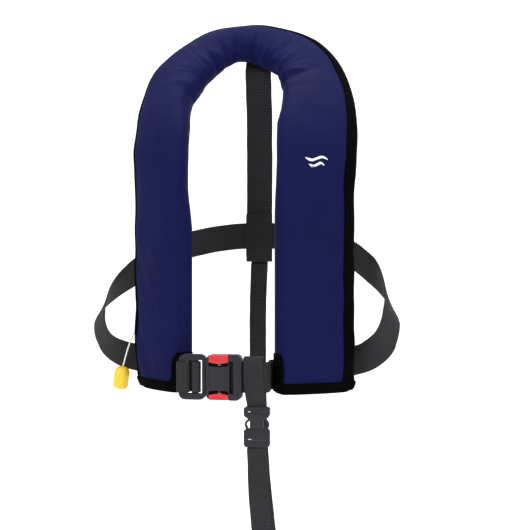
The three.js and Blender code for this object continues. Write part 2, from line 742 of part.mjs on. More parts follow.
function pinSpring(pinLow) {
  const [radius, wire, turns] = [2.1, 0.4, 3];
  const [low, high] = [pinLow + 3 + clearance + wire, inflatorTop - 12 - 1 - wire];
  const coil = new THREE.Curve();
  coil.getPoint = (t, target = vec()) => target.set(
    bottleX + radius * Math.cos(2 * Math.PI * turns * t),
    bottleY + radius * Math.sin(2 * Math.PI * turns * t),
    low + (high - low) * t,
  );
  const section = new THREE.Shape().absarc(0, 0, wire, 0, Math.PI * 2);
  return new THREE.ExtrudeGeometry(section, { steps: turns * 10, extrudePath: coil, curveSegments: 3 });
}

function firingLever() {
  const tip = vec(-33, 0, -372);
  const arm = ribbon([vec(leverX, 0, leverZ), tip.clone().lerp(vec(leverX, 0, leverZ), 0.5), tip], vec(0, 1, 0), 4.4, 2, 5);
  const lever = join(
    rod(4.6, 4.4, 'y').translate(leverX, 0, leverZ),
    arm,
    rod(3.4, 4.4, 'y').translate(tip.x, 0, tip.z),
  );
  return cut(lever, rod(1.9, 8, 'y').translate(leverX, 0, leverZ), rod(1.5, 8, 'y').translate(tip.x, 0, tip.z));
}

// ---- pull handle ----

function addPull() {
  const cordEnd = 66;
  const along = (d) => toggleTop.clone().addScaledVector(pullLine, d);
  const section = new THREE.Shape().absarc(0, 0, cordRadius, 0, Math.PI * 2);
  const route = new THREE.CatmullRomCurve3([along(clearance), along(20), along(40), along(cordEnd)]);
  add('pull_cord', new THREE.ExtrudeGeometry(section, {
    steps: 14, extrudePath: route, curveSegments: 4,
  }), white);
  const [r, l] = [toggleRadius, toggleLength];
  const handle = turned([
    [0, -l], [r * 0.55, -l + 0.8], [r * 0.88, -l + 4], [r, -l + 9], [r * 0.97, -l * 0.4], [r * 0.85, -5],
    [r * 0.55, -1.2], [2.6, 0], [0, 0],
  ], 24);
  const tilt = new THREE.Quaternion().setFromUnitVectors(vec(0, 0, 1), vec(0.12, 0.02, 1).normalize());
  handle.applyQuaternion(tilt).translate(toggleTop.x, toggleTop.y, toggleTop.z);
  add('pull_toggle', handle, yellow);
}

// ---- bladder and oral inflation ----

const bladderInset = coverWall + 1;
const tubeU = 12 - panelWidth / 2;

function bladderOutline(side) {
  return (station, inner = -station.width / 2 + bladderInset) => {
    const a = station.width / 2 - bladderInset;
    const b = station.thickness / 2 - bladderInset;
    const back = backLine(station) + 0.8;
    const arch = archOutline(station, bladderInset).map(([u, v]) => [Math.max(u, inner), v]);
    return side && [[a, back], ...arch.map(([u, v]) => [u, Math.min(v, b)]), [inner, back]];
  };
}

function addBladder() {
  const lobeBottom = -382;
  const bottleHigh = inflatorTop - 8.5 + bottleLength;
  const left = straightStations('left', [lobeBottom, panelStraightTop - 6]);
  const right = straightStations('right', [panelStraightTop, bottleHigh + 3]);
  const outline = bladderOutline(1);
  const stations = [
    ...left, ...shoulderRun.slice(1, -1), ...right,
  ];
  const narrow = tubeU + tubeRadius + clearance;
  add('folded_bladder', sweep(stations, (station, k) => outline(station, k < left.length ? narrow : undefined)), bladderYellow);
}

function addOralTube() {
  const group = panelGroup('left');
  const [top, bottom] = [panelStraightTop - 9, -385];
  const place = (geometry) => geometry.translate(tubeU, 2, 0);
  add('oral_tube', place(rod(tubeRadius, top - bottom, 'z').translate(0, 0, (top + bottom) / 2)), black, group);
  add('oral_valve', place(turned([
    [0, bottom - 16], [3.5, bottom - 16], [4.2, bottom - 12], [6, bottom - 8], [6, bottom - clearance], [0, bottom - clearance],
  ])), red, group);
  const capHigh = bottom - 7;
  add('oral_cap', place(cut(
    rod(7.2, 14, 'z').translate(0, 0, capHigh - 7),
    rod(6.4, 11, 'z').translate(0, 0, capHigh - 4.5),
  )), black, group);
  const rest = panelThickness / 2 - clearance;
  const whistle = cut(
    join(slab(2, 36, -446, -434, rest - 11, rest, 3), rod(8, 11, 'y').translate(30, rest - 5.5, -438)),
    box(12, 18, rest - 12, rest - 6, -440, -430),
    box(0, 13, rest - 8, rest - 3, -443, -437),
  );
  add('whistle', whistle, yellow, group);
}

addHorseshoe();
addHarness();
addWaistBuckle();
addCrotchClip();
addInflator();
addPull();
addBladder();
addOralTube();

export default jacket;
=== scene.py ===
import math

import bmesh
import bpy
import numpy as np
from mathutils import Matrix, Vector


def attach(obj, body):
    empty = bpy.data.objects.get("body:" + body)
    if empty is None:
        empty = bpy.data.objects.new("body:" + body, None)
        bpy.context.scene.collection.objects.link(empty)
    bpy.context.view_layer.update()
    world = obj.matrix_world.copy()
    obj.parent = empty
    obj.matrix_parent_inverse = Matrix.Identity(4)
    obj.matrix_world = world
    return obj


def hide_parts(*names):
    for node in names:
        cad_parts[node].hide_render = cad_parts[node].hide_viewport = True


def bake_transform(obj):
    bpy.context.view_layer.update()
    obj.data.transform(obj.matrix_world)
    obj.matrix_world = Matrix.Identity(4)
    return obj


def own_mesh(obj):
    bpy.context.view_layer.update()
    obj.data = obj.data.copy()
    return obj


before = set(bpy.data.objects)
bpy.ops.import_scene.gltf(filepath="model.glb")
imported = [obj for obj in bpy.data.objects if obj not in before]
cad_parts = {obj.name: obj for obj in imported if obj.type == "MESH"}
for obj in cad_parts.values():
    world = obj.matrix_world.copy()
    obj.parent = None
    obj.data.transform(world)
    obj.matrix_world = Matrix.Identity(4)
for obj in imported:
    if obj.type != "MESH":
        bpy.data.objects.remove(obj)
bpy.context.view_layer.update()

# The drawing is in millimetres; its origin lies this far from the neck's rest point
shift = np.array([6.0, 1.897698, 19.021222])


def place(points):
    return (np.asarray(points, float) + shift) / 1000


def unit(v):
    v = np.asarray(v, float)
    return v / np.maximum(np.linalg.norm(v, axis=-1, keepdims=True), 1e-12)


def smooth(x, low, high):
    t = np.clip((np.asarray(x, float) - low) / (high - low), 0, 1)
    return t * t * (3 - 2 * t)


def bump(x, middle, spread):
    return np.exp(-(((np.asarray(x, float) - middle) / spread) ** 2))


def wander(x, wavelengths, seed):
    local = np.random.default_rng(seed)
    total = np.zeros_like(np.asarray(x, float))
    for wavelength in wavelengths:
        total += np.sin(2 * math.pi * np.asarray(x, float) / wavelength + local.uniform(0, 6.28))
    return total / len(wavelengths)


def walked(points):
    # the length along a line of points, at each of them
    return np.concatenate([[0], np.cumsum(np.linalg.norm(np.diff(points, axis=0), axis=1))])


def spline(points, count):
    # centripetal curve through the points, at even spacing
    points = np.asarray(points, float)
    extended = np.vstack([2 * points[0] - points[1], points, 2 * points[-1] - points[-2]])
    out = []
    for i in range(1, len(extended) - 2):
        p0, p1, p2, p3 = extended[i - 1 : i + 3]
        t0 = 0
        t1 = t0 + max(np.linalg.norm(p1 - p0), 1e-6) ** 0.5
        t2 = t1 + max(np.linalg.norm(p2 - p1), 1e-6) ** 0.5
        t3 = t2 + max(np.linalg.norm(p3 - p2), 1e-6) ** 0.5
        for t in np.linspace(t1, t2, 25)[: None if i == len(extended) - 3 else -1]:
            a1 = (t1 - t) / (t1 - t0) * p0 + (t - t0) / (t1 - t0) * p1
            a2 = (t2 - t) / (t2 - t1) * p1 + (t - t1) / (t2 - t1) * p2
            a3 = (t3 - t) / (t3 - t2) * p2 + (t - t2) / (t3 - t2) * p3
            b1 = (t2 - t) / (t2 - t0) * a1 + (t - t0) / (t2 - t0) * a2
            b2 = (t3 - t) / (t3 - t1) * a2 + (t - t1) / (t3 - t1) * a3
            out.append((t2 - t) / (t2 - t1) * b1 + (t - t1) / (t2 - t1) * b2)
    out = np.array(out)
    length = walked(out[:, :3])
    even = np.linspace(0, length[-1], count)
    return np.stack([np.interp(even, length, out[:, k]) for k in range(out.shape[1])], axis=1)


print("stage: materials")


def wire(tree, source, target):
    tree.links.new(source, target)


def addNode(tree, kind, inputs=None, **settings):
    # a node with its settings; each input is a plain value or the socket that feeds it
    made = tree.nodes.new(kind)
    for key, value in settings.items():
        setattr(made, key, value)
    for key, value in (inputs or {}).items():
        if isinstance(value, bpy.types.NodeSocket):
            wire(tree, value, made.inputs[key])
        else:
            made.inputs[key].default_value = value
    return made


def maths(tree, operation, *values):
    return addNode(tree, "ShaderNodeMath", dict(enumerate(values)), operation=operation).outputs[0]


def between(tree, value, low, high, fromLow=0.0, fromHigh=1.0):
    # a value carried from one range to another
    ends = {"Value": value, "From Min": fromLow, "From Max": fromHigh, "To Min": low, "To Max": high}
    return addNode(tree, "ShaderNodeMapRange", ends).outputs["Result"]


def material(name, colour, roughness, kind="solid", **options):
    # kind picks the surface: cloth, webbing, moulded, metal or thread
    made = bpy.data.materials.new(name)
    made.use_nodes = True
    tree = made.node_tree
    shader = tree.nodes["Principled BSDF"]
    plain = {
        "Base Color": (*colour, 1), "Roughness": roughness, "Metallic": options.get("metallic", 0),
        "Specular IOR Level": options.get("specular", 0.35), "Sheen Weight": options.get("sheen", 0),
        "Sheen Roughness": 0.45, "Coat Weight": options.get("coat", 0), "Coat Roughness": 0.25,
    }
    for key, value in plain.items():
        shader.inputs[key].default_value = value
    spot = tree.nodes.new("ShaderNodeTexCoord").outputs["Object"]
    noises = []
    for scale, detail in ((options.get("cloudScale", 14), 4), (options.get("fineScale", 420), 3)):
        noise = addNode(tree, "ShaderNodeTexNoise", {"Vector": spot, "Scale": scale, "Detail": detail})
        noises.append(noise.outputs["Fac"])
    clouds, fine = noises
    spread = options.get("variation", 0.16)
    ramp = addNode(tree, "ShaderNodeValToRGB", {"Fac": clouds})
    for element, position, share in zip(ramp.color_ramp.elements, (0.3, 0.7), (1 - spread, 1 + spread)):
        element.position = position
        element.color = (*[min(1, c * share) for c in colour], 1)
    scuffed = (*[min(1, c * 1.5 + options.get("wear", 0.004)) for c in colour], 1)
    scuffs = between(tree, fine, 0, options.get("wearAmount", 0.35), 0.6, 0.8)
    worn = addNode(tree, "ShaderNodeMix", {0: scuffs, 6: ramp.outputs["Color"], 7: scuffed}, data_type="RGBA")
    worn = worn.outputs[2]
    wire(tree, worn, shader.inputs["Base Color"])
    wire(tree, between(tree, clouds, roughness - 0.06, roughness + 0.06, 0.3, 0.7),
         shader.inputs["Roughness"])
    height = fine
    if kind in ("cloth", "webbing"):
        uv = addNode(tree, "ShaderNodeUVMap", uv_map="weave").outputs["UV"]
        bands = []
        for direction, period in zip("XY", options["threads"]):
            waves = {"Vector": uv, "Scale": 0.31416 / period, "Distortion": 0.4}
            bands.append(addNode(tree, "ShaderNodeTexWave", waves, bands_direction=direction).outputs["Fac"])
        crossed = maths(tree, "MULTIPLY" if kind == "cloth" else "ADD", *bands)
        height = maths(tree, "MULTIPLY_ADD", crossed, 0.5, fine)
    if kind == "webbing":
        # painted shade and painted light: the base colour is darkened in the valleys between the ribs and
        # lightened on their crests
        paintedRibShade = between(tree, bands[1], 0.3, 1.4)
        paintedShadeColour = addNode(tree, "ShaderNodeVectorMath", {0: worn, "Scale": paintedRibShade}, operation="SCALE")
        wire(tree, paintedShadeColour.outputs["Vector"], shader.inputs["Base Color"])
    relief = addNode(tree, "ShaderNodeBump", {"Strength": options.get("relief", 0.4),
                                              "Distance": options.get("depth", 0.0002), "Height": height})
    wire(tree, relief.outputs["Normal"], shader.inputs["Normal"])
    return made


paints = {
    "cover": material("cover_cloth", (0.0058, 0.0072, 0.053), 0.7, "cloth", threads=(0.0009, 0.0009),
                      sheen=0.0, specular=0.05, variation=0.1, cloudScale=9, wear=0.002, depth=0.00012,
                      relief=0.35),
    "trim": material("trim_tape", (0.0012, 0.0012, 0.0014), 0.9, "cloth", threads=(0.0012, 0.0008),
                     sheen=0.0, wear=0.0004, specular=0.03, depth=0.00015),
    "lining": material("lining_mesh", (0.012, 0.012, 0.014), 0.9, "cloth", threads=(0.0022, 0.0022),
                       sheen=0.05, wear=0.003, specular=0.15, depth=0.0005, relief=0.7),
    "webbing": material("webbing_ribbed", (0.023, 0.0215, 0.0245), 0.72, "webbing", threads=(0.0011, 0.0021),
                        sheen=0.04, variation=0.14, wear=0.006, specular=0.2, depth=0.0003, relief=0.9),
    "plastic": material("buckle_moulding", (0.0185, 0.0175, 0.0225), 0.46, "moulded", variation=0.06,
                        specular=0.22, wear=0.004, wearAmount=0.2, fineScale=900, depth=0.00005,
                        relief=0.3),
    "red": material("button_red", (0.5544, 0.0235, 0.0252), 0.36, "moulded", variation=0.05, coat=0.15,
                    fineScale=900, depth=0.00004, relief=0.25, wearAmount=0.15),
    "yellow": material("toggle_yellow", (0.8, 0.53, 0.03), 0.42, "moulded", variation=0.05, coat=0.1,
                       fineScale=700, depth=0.00008, relief=0.3, wearAmount=0.15),
    "cord": material("cord_white", (0.8, 0.8, 0.78), 0.75, "thread", sheen=0.2, fineScale=1500, wear=0),
    "steel": material("bottle_steel", (0.6, 0.61, 0.63), 0.3, "metal", metallic=1, variation=0.05),
    "brass": material("fitting_brass", (0.68, 0.48, 0.2), 0.32, "metal", metallic=1, variation=0.08),
    "rubber": material("seal_rubber", (0.02, 0.02, 0.02), 0.8, "moulded"),
    "green": material("indicator_green", (0.03, 0.38, 0.09), 0.38, "moulded", variation=0.05),
    "bladder": material("bladder_film", (0.85, 0.6, 0.03), 0.48, "cloth", threads=(0.0006, 0.0006),
                        sheen=0.05),
    "thread": material("seam_thread", (0.03, 0.032, 0.075), 0.7, "thread", fineScale=2500),
    "darkThread": material("dark_thread", (0.012, 0.012, 0.013), 0.7, "thread", fineScale=2500),
    "mark": material("cover_print", (0.75, 0.75, 0.76), 0.55, "thread", variation=0.03, wear=0,
                     depth=0.00003),
}


def linked(name, data):
    made = bpy.data.objects.new(name, data)
    bpy.context.scene.collection.objects.link(made)
    return made


def finished(obj, paint):
    # one finish and smooth shading on the whole mesh
    obj.data.materials.clear()
    obj.data.materials.append(paints[paint])
    obj.data.polygons.foreach_set("use_smooth", [True] * len(obj.data.polygons))


def build(name, points, faces, paint, uvs):
    # points in drawing millimetres; uvs are one pair for each face corner
    mesh = bpy.data.meshes.new(name)
    mesh.from_pydata(place(points).tolist(), [], [list(map(int, f)) for f in faces])
    layer = mesh.uv_layers.new(name="weave")
    layer.data.foreach_set("uv", np.asarray(uvs, np.float32).ravel())
    mesh.validate()
    made = linked(name, mesh)
    finished(made, paint)
    return made


def standFor(piece, body, slot, *nodes):
    # the piece rides on a body and takes the place of its CAD nodes
    if body:
        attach(piece, body)
    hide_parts(*nodes)


def facingOut(obj):
    work = bmesh.new()
    work.from_mesh(obj.data)
    bmesh.ops.recalc_face_normals(work, faces=work.faces)
    if work.calc_volume(signed=True) < 0:
        bmesh.ops.reverse_faces(work, faces=work.faces)
    work.to_mesh(obj.data)
    work.free()
    return obj


def loft(name, rings, along, paint):
    # rings: stations x outline x 3; the outline closes on itself and both ends get a cap
    rings = np.asarray(rings, float)
    n, m = rings.shape[:2]
    closed = np.concatenate([rings, rings[:, :1]], axis=1)
    steps = np.linalg.norm(np.diff(closed, axis=1), axis=2)
    around = np.concatenate([np.zeros((n, 1)), np.cumsum(steps, axis=1)], axis=1).mean(axis=0) / 1000
    along = np.asarray(along, float) / 1000
    faces = []
    uvs = []
    for k in range(n - 1):
        for i in range(m):
            j = (i + 1) % m
            faces.append((k * m + i, k * m + j, (k + 1) * m + j, (k + 1) * m + i))
            low, high = around[i], around[i + 1]
            uvs += [(low, along[k]), (high, along[k]), (high, along[k + 1]), (low, along[k + 1])]
    for k in (0, n - 1):
        faces.append([k * m + i for i in range(m)])
        uvs += [(around[i], along[k]) for i in range(m)]
    return facingOut(build(name, rings.reshape(-1, 3), faces, paint, uvs))


def modified(obj, kind, **settings):
    added = obj.modifiers.new(kind.lower(), kind)
    for key, value in settings.items():
        setattr(added, key, value)
    return added


def baked(obj):
    # the evaluated mesh takes the place of the mesh and its modifiers
    graph = bpy.context.evaluated_depsgraph_get()
    mesh = bpy.data.meshes.new_from_object(obj.evaluated_get(graph))
    obj.modifiers.clear()
    obj.data = mesh
    return obj


print("stage: horseshoe stations")
shoulders = {
    "left": [
        [[102.8, -148, -165], [0.89, 0.43, -0.13], 104, 35],
        [[101, -124, -123], [0.92, 0.35, -0.16], 104, 36],
        [[96, -94, -86], [0.94, 0.34, -0.08], 98, 37],
        [[86, -65, -57], [0.93, 0.34, 0.12], 88, 38],
        [[68, -37, -30], [0.85, 0.32, 0.42], 78, 38],
        [[42, -10, -10], [0.66, 0.32, 0.68], 67, 36],
        [[16, 6, 1], [0.42, 0.35, 0.84], 61, 35],
    ],
    "right": [
        [[-100, -143, -161], [-0.81, 0.57, -0.14], 100, 35],
        [[-102, -119, -117], [-0.84, 0.43, -0.32], 96, 36],
        [[-101, -89, -82], [-0.92, 0.35, -0.18], 88, 38],
        [[-92, -59, -50], [-0.94, 0.3, 0.18], 80, 39],
        [[-74, -33, -27], [-0.85, 0.25, 0.46], 73, 38],
        [[-55, -9, -8], [-0.71, 0.23, 0.67], 67, 36],
        [[-33, 5, 3], [-0.44, 0.35, 0.83], 61, 35],
    ],
}
nape = [[-6, 12, 7], [0, 0.47, 0.88], 59, 35]
panels = {
    "left": {"side": 1, "turn": math.radians(30), "depth": -155},
    "right": {"side": -1, "turn": math.radians(44), "depth": -145},
}
panelSizes = {"width": 100, "thickness": 34, "offset": 102.8, "bottom": -471, "top": -215}


def panelAxes(name):
    side, turn = panels[name]["side"], panels[name]["turn"]
    across = np.array([side * math.cos(turn), math.sin(turn), 0])
    out = np.array([side * math.sin(turn), -math.cos(turn), 0])
    return across, out


def atPanel(name, u, v, z):
    across, out = panelAxes(name)
    side, depth = panels[name]["side"], panels[name]["depth"]
    base = np.array([side * panelSizes["offset"], depth, z], float)
    return base + u * across + v * out


def straight(name):
    across = panelAxes(name)[0]
    heights = (panelSizes["bottom"], -400, -330, -260, panelSizes["top"])
    return [[atPanel(name, 0, 0, z), across, panelSizes["width"], panelSizes["thickness"]] for z in heights]


def horseshoe(count):
    rows = straight("left") + shoulders["left"] + [nape] + shoulders["right"][::-1] + straight("right")[::-1]
    data = np.array([[*row[0], *row[1], row[2], row[3]] for row in rows], float)
    dense = spline(data, count)
    at = dense[:, :3]
    tangent = unit(np.gradient(at, axis=0))
    across = dense[:, 3:6]
    across = unit(across - (across * tangent).sum(1, keepdims=True) * tangent)
    out = unit(np.cross(across, tangent))
    along = walked(at)
    return {"at": at, "across": across, "out": out, "width": dense[:, 6], "thick": dense[:, 7],
            "along": along}


runSizes = {"count": 520}
run = horseshoe(runSizes["count"])
runLength = run["along"][-1]


def onRun(indices, u, v):
    # points of the run: u towards the outer edge, v away from the wearer, each one row per station
    at = run["at"][indices][:, None]
    across = run["across"][indices][:, None]
    out = run["out"][indices][:, None]
    return at + across * np.asarray(u)[..., None] + out * np.asarray(v)[..., None]


print("stage: cover")
everyStation = np.arange(runSizes["count"])
fromEnd = np.minimum(run["along"], runLength - run["along"])
leftEnd = run["along"] < runLength / 2
# signed distance along the run from its middle at the nape
middleOfRun = run["along"] - runLength / 2
coverSizes = {"wall": 2.2, "foot": 26, "footDepth": 0.55, "corner": 9, "power": 2.5, "steps": 44, "side": 7}


def footShrink(distance, reach):
    t = np.clip(1 - distance / reach, 0, 1)
    return np.sqrt(np.maximum(1 - t * t, 0))


# how far the neck edge reaches in, at places along the run: at the middle of the depth and at the back
neckReach = [
    (-360, 50, 50), (-297, 50.5, 47), (-270, 51, 48), (-243, 51, 48.5), (-216, 46, 44), (-188, 43, 41.5),
    (-161, 40.5, 38.5), (-134, 40, 37.5), (-107, 37, 34), (-80, 31.5, 28), (-53, 32, 28.5),
    (-26, 30.8, 26), (1, 29.5, 20), (28, 23.5, 14.5), (55, 25, 17), (82, 27, 20.5), (109, 31, 22.5),
    (137, 35, 28), (164, 35.5, 29), (191, 31, 25.5), (218, 33.5, 27), (245, 39, 30.5), (272, 43.5, 31),
    (299, 48, 35), (326, 50, 40), (353, 50, 46), (380, 50, 50),
]


def halfWidths():
    half = run["width"] / 2
    rounding = coverSizes["corner"] * (1 - footShrink(fromEnd, coverSizes["corner"]))
    outer = half - rounding
    inner = half - rounding * 0.4
    # the right panel draws in a little towards its outer foot
    outer = outer - np.where(leftEnd, 0, 7 * smooth(70 - fromEnd, 0, 66))
    places = [row[0] for row in neckReach]
    middleReach = np.interp(middleOfRun, places, [row[1] for row in neckReach])
    backReach = np.interp(middleOfRun, places, [row[2] for row in neckReach])
    return outer, np.minimum(inner, middleReach), np.minimum(inner, backReach)


def frontHeight():
    grip = coverSizes["footDepth"]
    return run["thick"] / 2 * (grip + (1 - grip) * footShrink(fromEnd, coverSizes["foot"]))


outerHalf, innerHalf, innerBack = halfWidths()
frontHigh = frontHeight()


def arch(grow, steps, lowest=0.0, highest=math.pi):
    # one row of [u, v] for each station, from the outer edge over the front to the inner edge
    angles = np.linspace(lowest, highest, steps)
    c, s = np.cos(angles), np.sin(angles)
    power = 2 / coverSizes["power"]
    lateral = np.sign(c) * np.abs(c) ** power
    rise = np.abs(s) ** power
    reach = np.where(c > 0, (outerHalf + grow)[:, None], (innerHalf + grow)[:, None])
    return reach * lateral, (frontHigh + grow)[:, None] * rise


def folds(u):
    # how far the cloth of the cover stands off its plain shape
    s = middleOfRun[:, None] + 0 * u
    inward = smooth(-u / innerHalf[:, None], -0.35, 0.95)
    neck = smooth(np.abs(s), 215, 120)
    lift = 0.7 * wander(s + 0.6 * u, (83, 131, 57), 1) + 0.5 * wander(u * 1.3 - 0.4 * s, (61, 97), 2)
    # gathers that run out from the neck edge
    phase = s + 5 * wander(s, (47, 71), 3) + 0.16 * u * wander(s, (90, 64), 4)
    gather = wander(phase, (23, 31, 17.5), 5)
    sharp = np.sign(gather) * np.abs(gather) ** 0.8
    lift += neck * inward * (3.0 * sharp + 0.9 * wander(phase, (9.5, 7.3), 6))
    # long deep pleats at chosen places
    for middle, spread, slant, depth in coverPleats:
        line = middle + slant * (u + innerHalf[:, None])
        reach = smooth(-u / innerHalf[:, None], -0.5, 0.8)
        lift -= depth * bump(s, line, spread) * reach
        lift += 0.55 * depth * bump(s, line + 1.9 * spread, spread * 1.2) * reach
    # seams across the shoulders
    for middle, slant in coverSeams:
        line = middle + slant * u
        lift -= 1.3 * bump(s, line, 1.4)
        lift += 0.5 * bump(s, line, 7)
    # slack creases on the panels, low down
    low = smooth(np.abs(s), 330, 470)
    crease = wander(0.8 * s + 1.25 * u * np.sign(s), (52, 38, 67), 8)
    lift += low * 1.5 * np.sign(crease) * np.abs(crease) ** 1.4
    upright = wander(u, (33, 24), 9) * wander(s, (210, 160), 10)
    lift += 0.55 * smooth(np.abs(s), 150, 250) * upright
    return lift


coverPleats = [
    (-14, 3.6, 0.25, 4.2), (12, 3.2, -0.2, 3.2), (38, 4.2, -0.3, 3.4), (62, 3.4, -0.25, 2.6),
    (-48, 4.0, 0.35, 3.6), (-78, 4.2, 0.3, 2.8), (-112, 4.6, 0.2, 3.2), (92, 4.2, -0.3, 2.6),
    (128, 4.6, -0.2, 2.4), (-158, 6.0, 0.28, 3.4),
]
coverSeams = [(-100, 0.35), (104, -0.35)]


def coverShell():
    sizes = coverSizes
    across, rise = arch(0, sizes["steps"])
    lift = folds(across)
    fade = smooth(rise / np.maximum(frontHigh[:, None], 1), 0.0, 0.35) * footShrink(fromEnd, 30)[:, None]
    atNeck = smooth(-across / innerHalf[:, None], 0.6, 1) * smooth(np.abs(middleOfRun), 230, 140)[:, None]
    lift = lift * np.maximum(fade, atNeck * footShrink(fromEnd, 30)[:, None])
    angles = np.linspace(0, math.pi, sizes["steps"])
    push = np.cos(angles)[None] * 0.75
    outU = across + lift * push
    outV = rise + lift * np.sin(angles)[None] ** 0.6
    back = -run["thick"] / 2
    drop = np.linspace(0, 1, sizes["side"] + 1)[1:]
    # the sides go down to the back's edge with a slight swell
    sideV = back[:, None] * drop
    swell = 1.6 * np.sin(math.pi * drop) * footShrink(fromEnd, 20)[:, None]
    waves = lift[:, -1:] * (1 - drop) * 0.9
    taper = (innerHalf - innerBack)[:, None] * drop**1.2
    innerU = -(innerHalf[:, None] + swell - taper) - waves * 0.6
    outerU = outerHalf[:, None] - 1.8 * smooth(drop, 0, 0.3)
    u = np.concatenate([outerU[:, ::-1], outU, innerU], axis=1)
    v = np.concatenate([sideV[:, ::-1], outV, sideV], axis=1)
    # the cloth turns inwards at the back and returns along its inside, so that the body is closed
    wall = sizes["wall"]
    insideU = u * (1 - wall / np.maximum(np.abs(u), 20))
    insideV = v - wall * (v > 0) * np.clip(v / frontHigh[:, None], 0, 1)
    ringU = np.concatenate([u, insideU[:, ::-1]], axis=1)
    ringV = np.concatenate([v, insideV[:, ::-1]], axis=1)
    return ringU, ringV


coverU, coverV = coverShell()
cover = loft("horseshoe_cover", onRun(everyStation, coverU, coverV), run["along"], "cover")
standFor(cover, "jacket", "cover_navy", "right_cover", "left_cover", "collar_cover")

print("stage: edge band, lining and foot")
bandSizes = {"wall": 1.0, "near": 0.3, "beadRise": 0.7}
# how far the band wraps on to the front, along the run
bandWrap = [
    (-600, 20), (-330, 19), (-230, 18), (-150, 16), (-100, 12), (-60, 8), (-20, 3.5), (10, 1.2),
    (120, 1.2), (200, 4), (260, 6), (380, 9), (450, 13), (600, 14),
]


def edgeBand():
    # up the outer side, round the edge and on to the front, ending in a soft bead
    sizes = bandSizes
    low = -run["thick"] / 2 - 2.3
    drop = np.linspace(1, 0, 9)
    swell = 1.0 * np.sin(math.pi * drop) * footShrink(fromEnd, 20)[:, None]
    ripple = 0.35 * wander(run["along"], (41, 67, 29), 12)[:, None] * np.sin(math.pi * drop)
    sideU = outerHalf[:, None] + swell + ripple
    sideV = low[:, None] * drop
    wrap = np.interp(middleOfRun, [w[0] for w in bandWrap], [w[1] for w in bandWrap])
    wrap = wrap + 0.35 * wander(run["along"], (75, 51), 15)
    reach = np.arccos(np.clip(1 - wrap / outerHalf, 0, 1) ** (coverSizes["power"] / 2))
    share = np.linspace(0.02, 1, 16)
    angles = reach[:, None] * share
    shell = coverU.shape[1] // 2
    position = coverSizes["side"] + angles / math.pi * (coverSizes["steps"] - 1)
    index = np.clip(position.astype(int), 0, shell - 2)
    part = position - index
    rows = everyStation[:, None]
    frontU = coverU[rows, index] * (1 - part) + coverU[rows, index + 1] * part
    frontV = coverV[rows, index] * (1 - part) + coverV[rows, index + 1] * part
    baseU = np.concatenate([sideU, frontU], axis=1)
    baseV = np.concatenate([sideV, frontV], axis=1)
    du = np.gradient(baseU, axis=1)
    dv = np.gradient(baseV, axis=1)
    size = np.maximum(np.hypot(du, dv), 1e-6)
    nu, nv = dv / size, -du / size
    last = np.linspace(0, 1, baseU.shape[1])
    bead = sizes["beadRise"] * bump(last, 0.955, 0.022)
    high = sizes["near"] + sizes["wall"] * np.sqrt(np.clip(1 - smooth(last, 0.955, 1.0) ** 2, 0, 1)) + bead
    outerU, outerV = baseU + nu * high, baseV + nv * high
    lowerU, lowerV = baseU + nu * 0.2, baseV + nv * 0.2
    ringU = np.concatenate([outerU, lowerU[:, ::-1]], axis=1)
    ringV = np.concatenate([outerV, lowerV[:, ::-1]], axis=1)
    return ringU, ringV


bandU, bandV = edgeBand()
band = loft("edge_band", onRun(everyStation, bandU, bandV), run["along"], "trim")
standFor(band, "jacket", "trim_black", "right_edge_band", "left_edge_band", "collar_edge_band")


def backLining():
    top = -run["thick"] / 2 - 0.3
    steps = np.linspace(-1, 1, 31)
    outer, inner = outerHalf - 0.2, innerBack - 0.2
    u = np.where(steps > 0, steps * outer[:, None], steps * inner[:, None])
    puff = 0.5 * wander(run["along"], (37, 53), 14)[:, None] * np.cos(math.pi / 2 * steps)
    channels = -0.5 * np.abs(np.sin(steps * math.pi * 1.5))
    edge = np.sqrt(np.clip(1 - steps**6, 0, 1))
    back = top[:, None] - 0.5 - (1.5 + puff * 0.6 + 0.5 + channels) * edge
    ringU = np.concatenate([u, u[:, ::-1]], axis=1)
    ringV = np.concatenate([np.repeat(top[:, None], 31, axis=1), back[:, ::-1]], axis=1)
    return ringU, ringV


liningU, liningV = backLining()
lining = loft("back_lining", onRun(everyStation, liningU, liningV), run["along"], "lining")
standFor(lining, "jacket", "lining_black", "right_back_lining", "left_back_lining", "collar_back_lining")

bindingSizes = {"rise": 14.5, "grow": 2.9, "thick": 1.3, "below": 1.9}


def footBinding(name):
    # tape folded round the foot: it rises on the front and the sides and closes underneath
    sizes = bindingSizes
    atStart = name == "left"
    k0 = 0 if atStart else runSizes["count"] - 1
    step = 1 if atStart else -1
    upward = unit(run["at"][k0 + step] - run["at"][k0])
    shell = coverU.shape[1] // 2
    order = np.arange(shell)
    rings = []
    for j in range(25):
        t = j / 24
        if t < 0.5:
            height = sizes["rise"] * (1 - t / 0.5) - sizes["below"]
            grow = sizes["grow"]
        else:
            height = sizes["rise"] * (t - 0.5) / 0.5 - sizes["below"] + 0.7
            grow = sizes["grow"] - sizes["thick"]
        tuck = footShrink(height + sizes["below"] + 0.3, 3.5)
        wave = 0.25 * math.sin(height * 0.8)
        station = min(abs(max(height, 0)) / (runLength / runSizes["count"]), 12)
        k = k0 + step * int(round(station))
        u, v = coverU[k, order], coverV[k, order]
        away = np.stack([u, np.maximum(v, 0) * 1.5], axis=1)
        away = away / np.maximum(np.linalg.norm(away, axis=1, keepdims=True), 1e-6)
        spread = away * (grow * tuck + wave * (grow == sizes["grow"]))
        sideways = u + spread[:, 0] - (1 - tuck) * u * 0.03
        row = run["at"][k0] + upward * height + np.outer(sideways, run["across"][k0])
        row = row + np.outer(v + spread[:, 1], run["out"][k0])
        rings.append(row)
    return rings


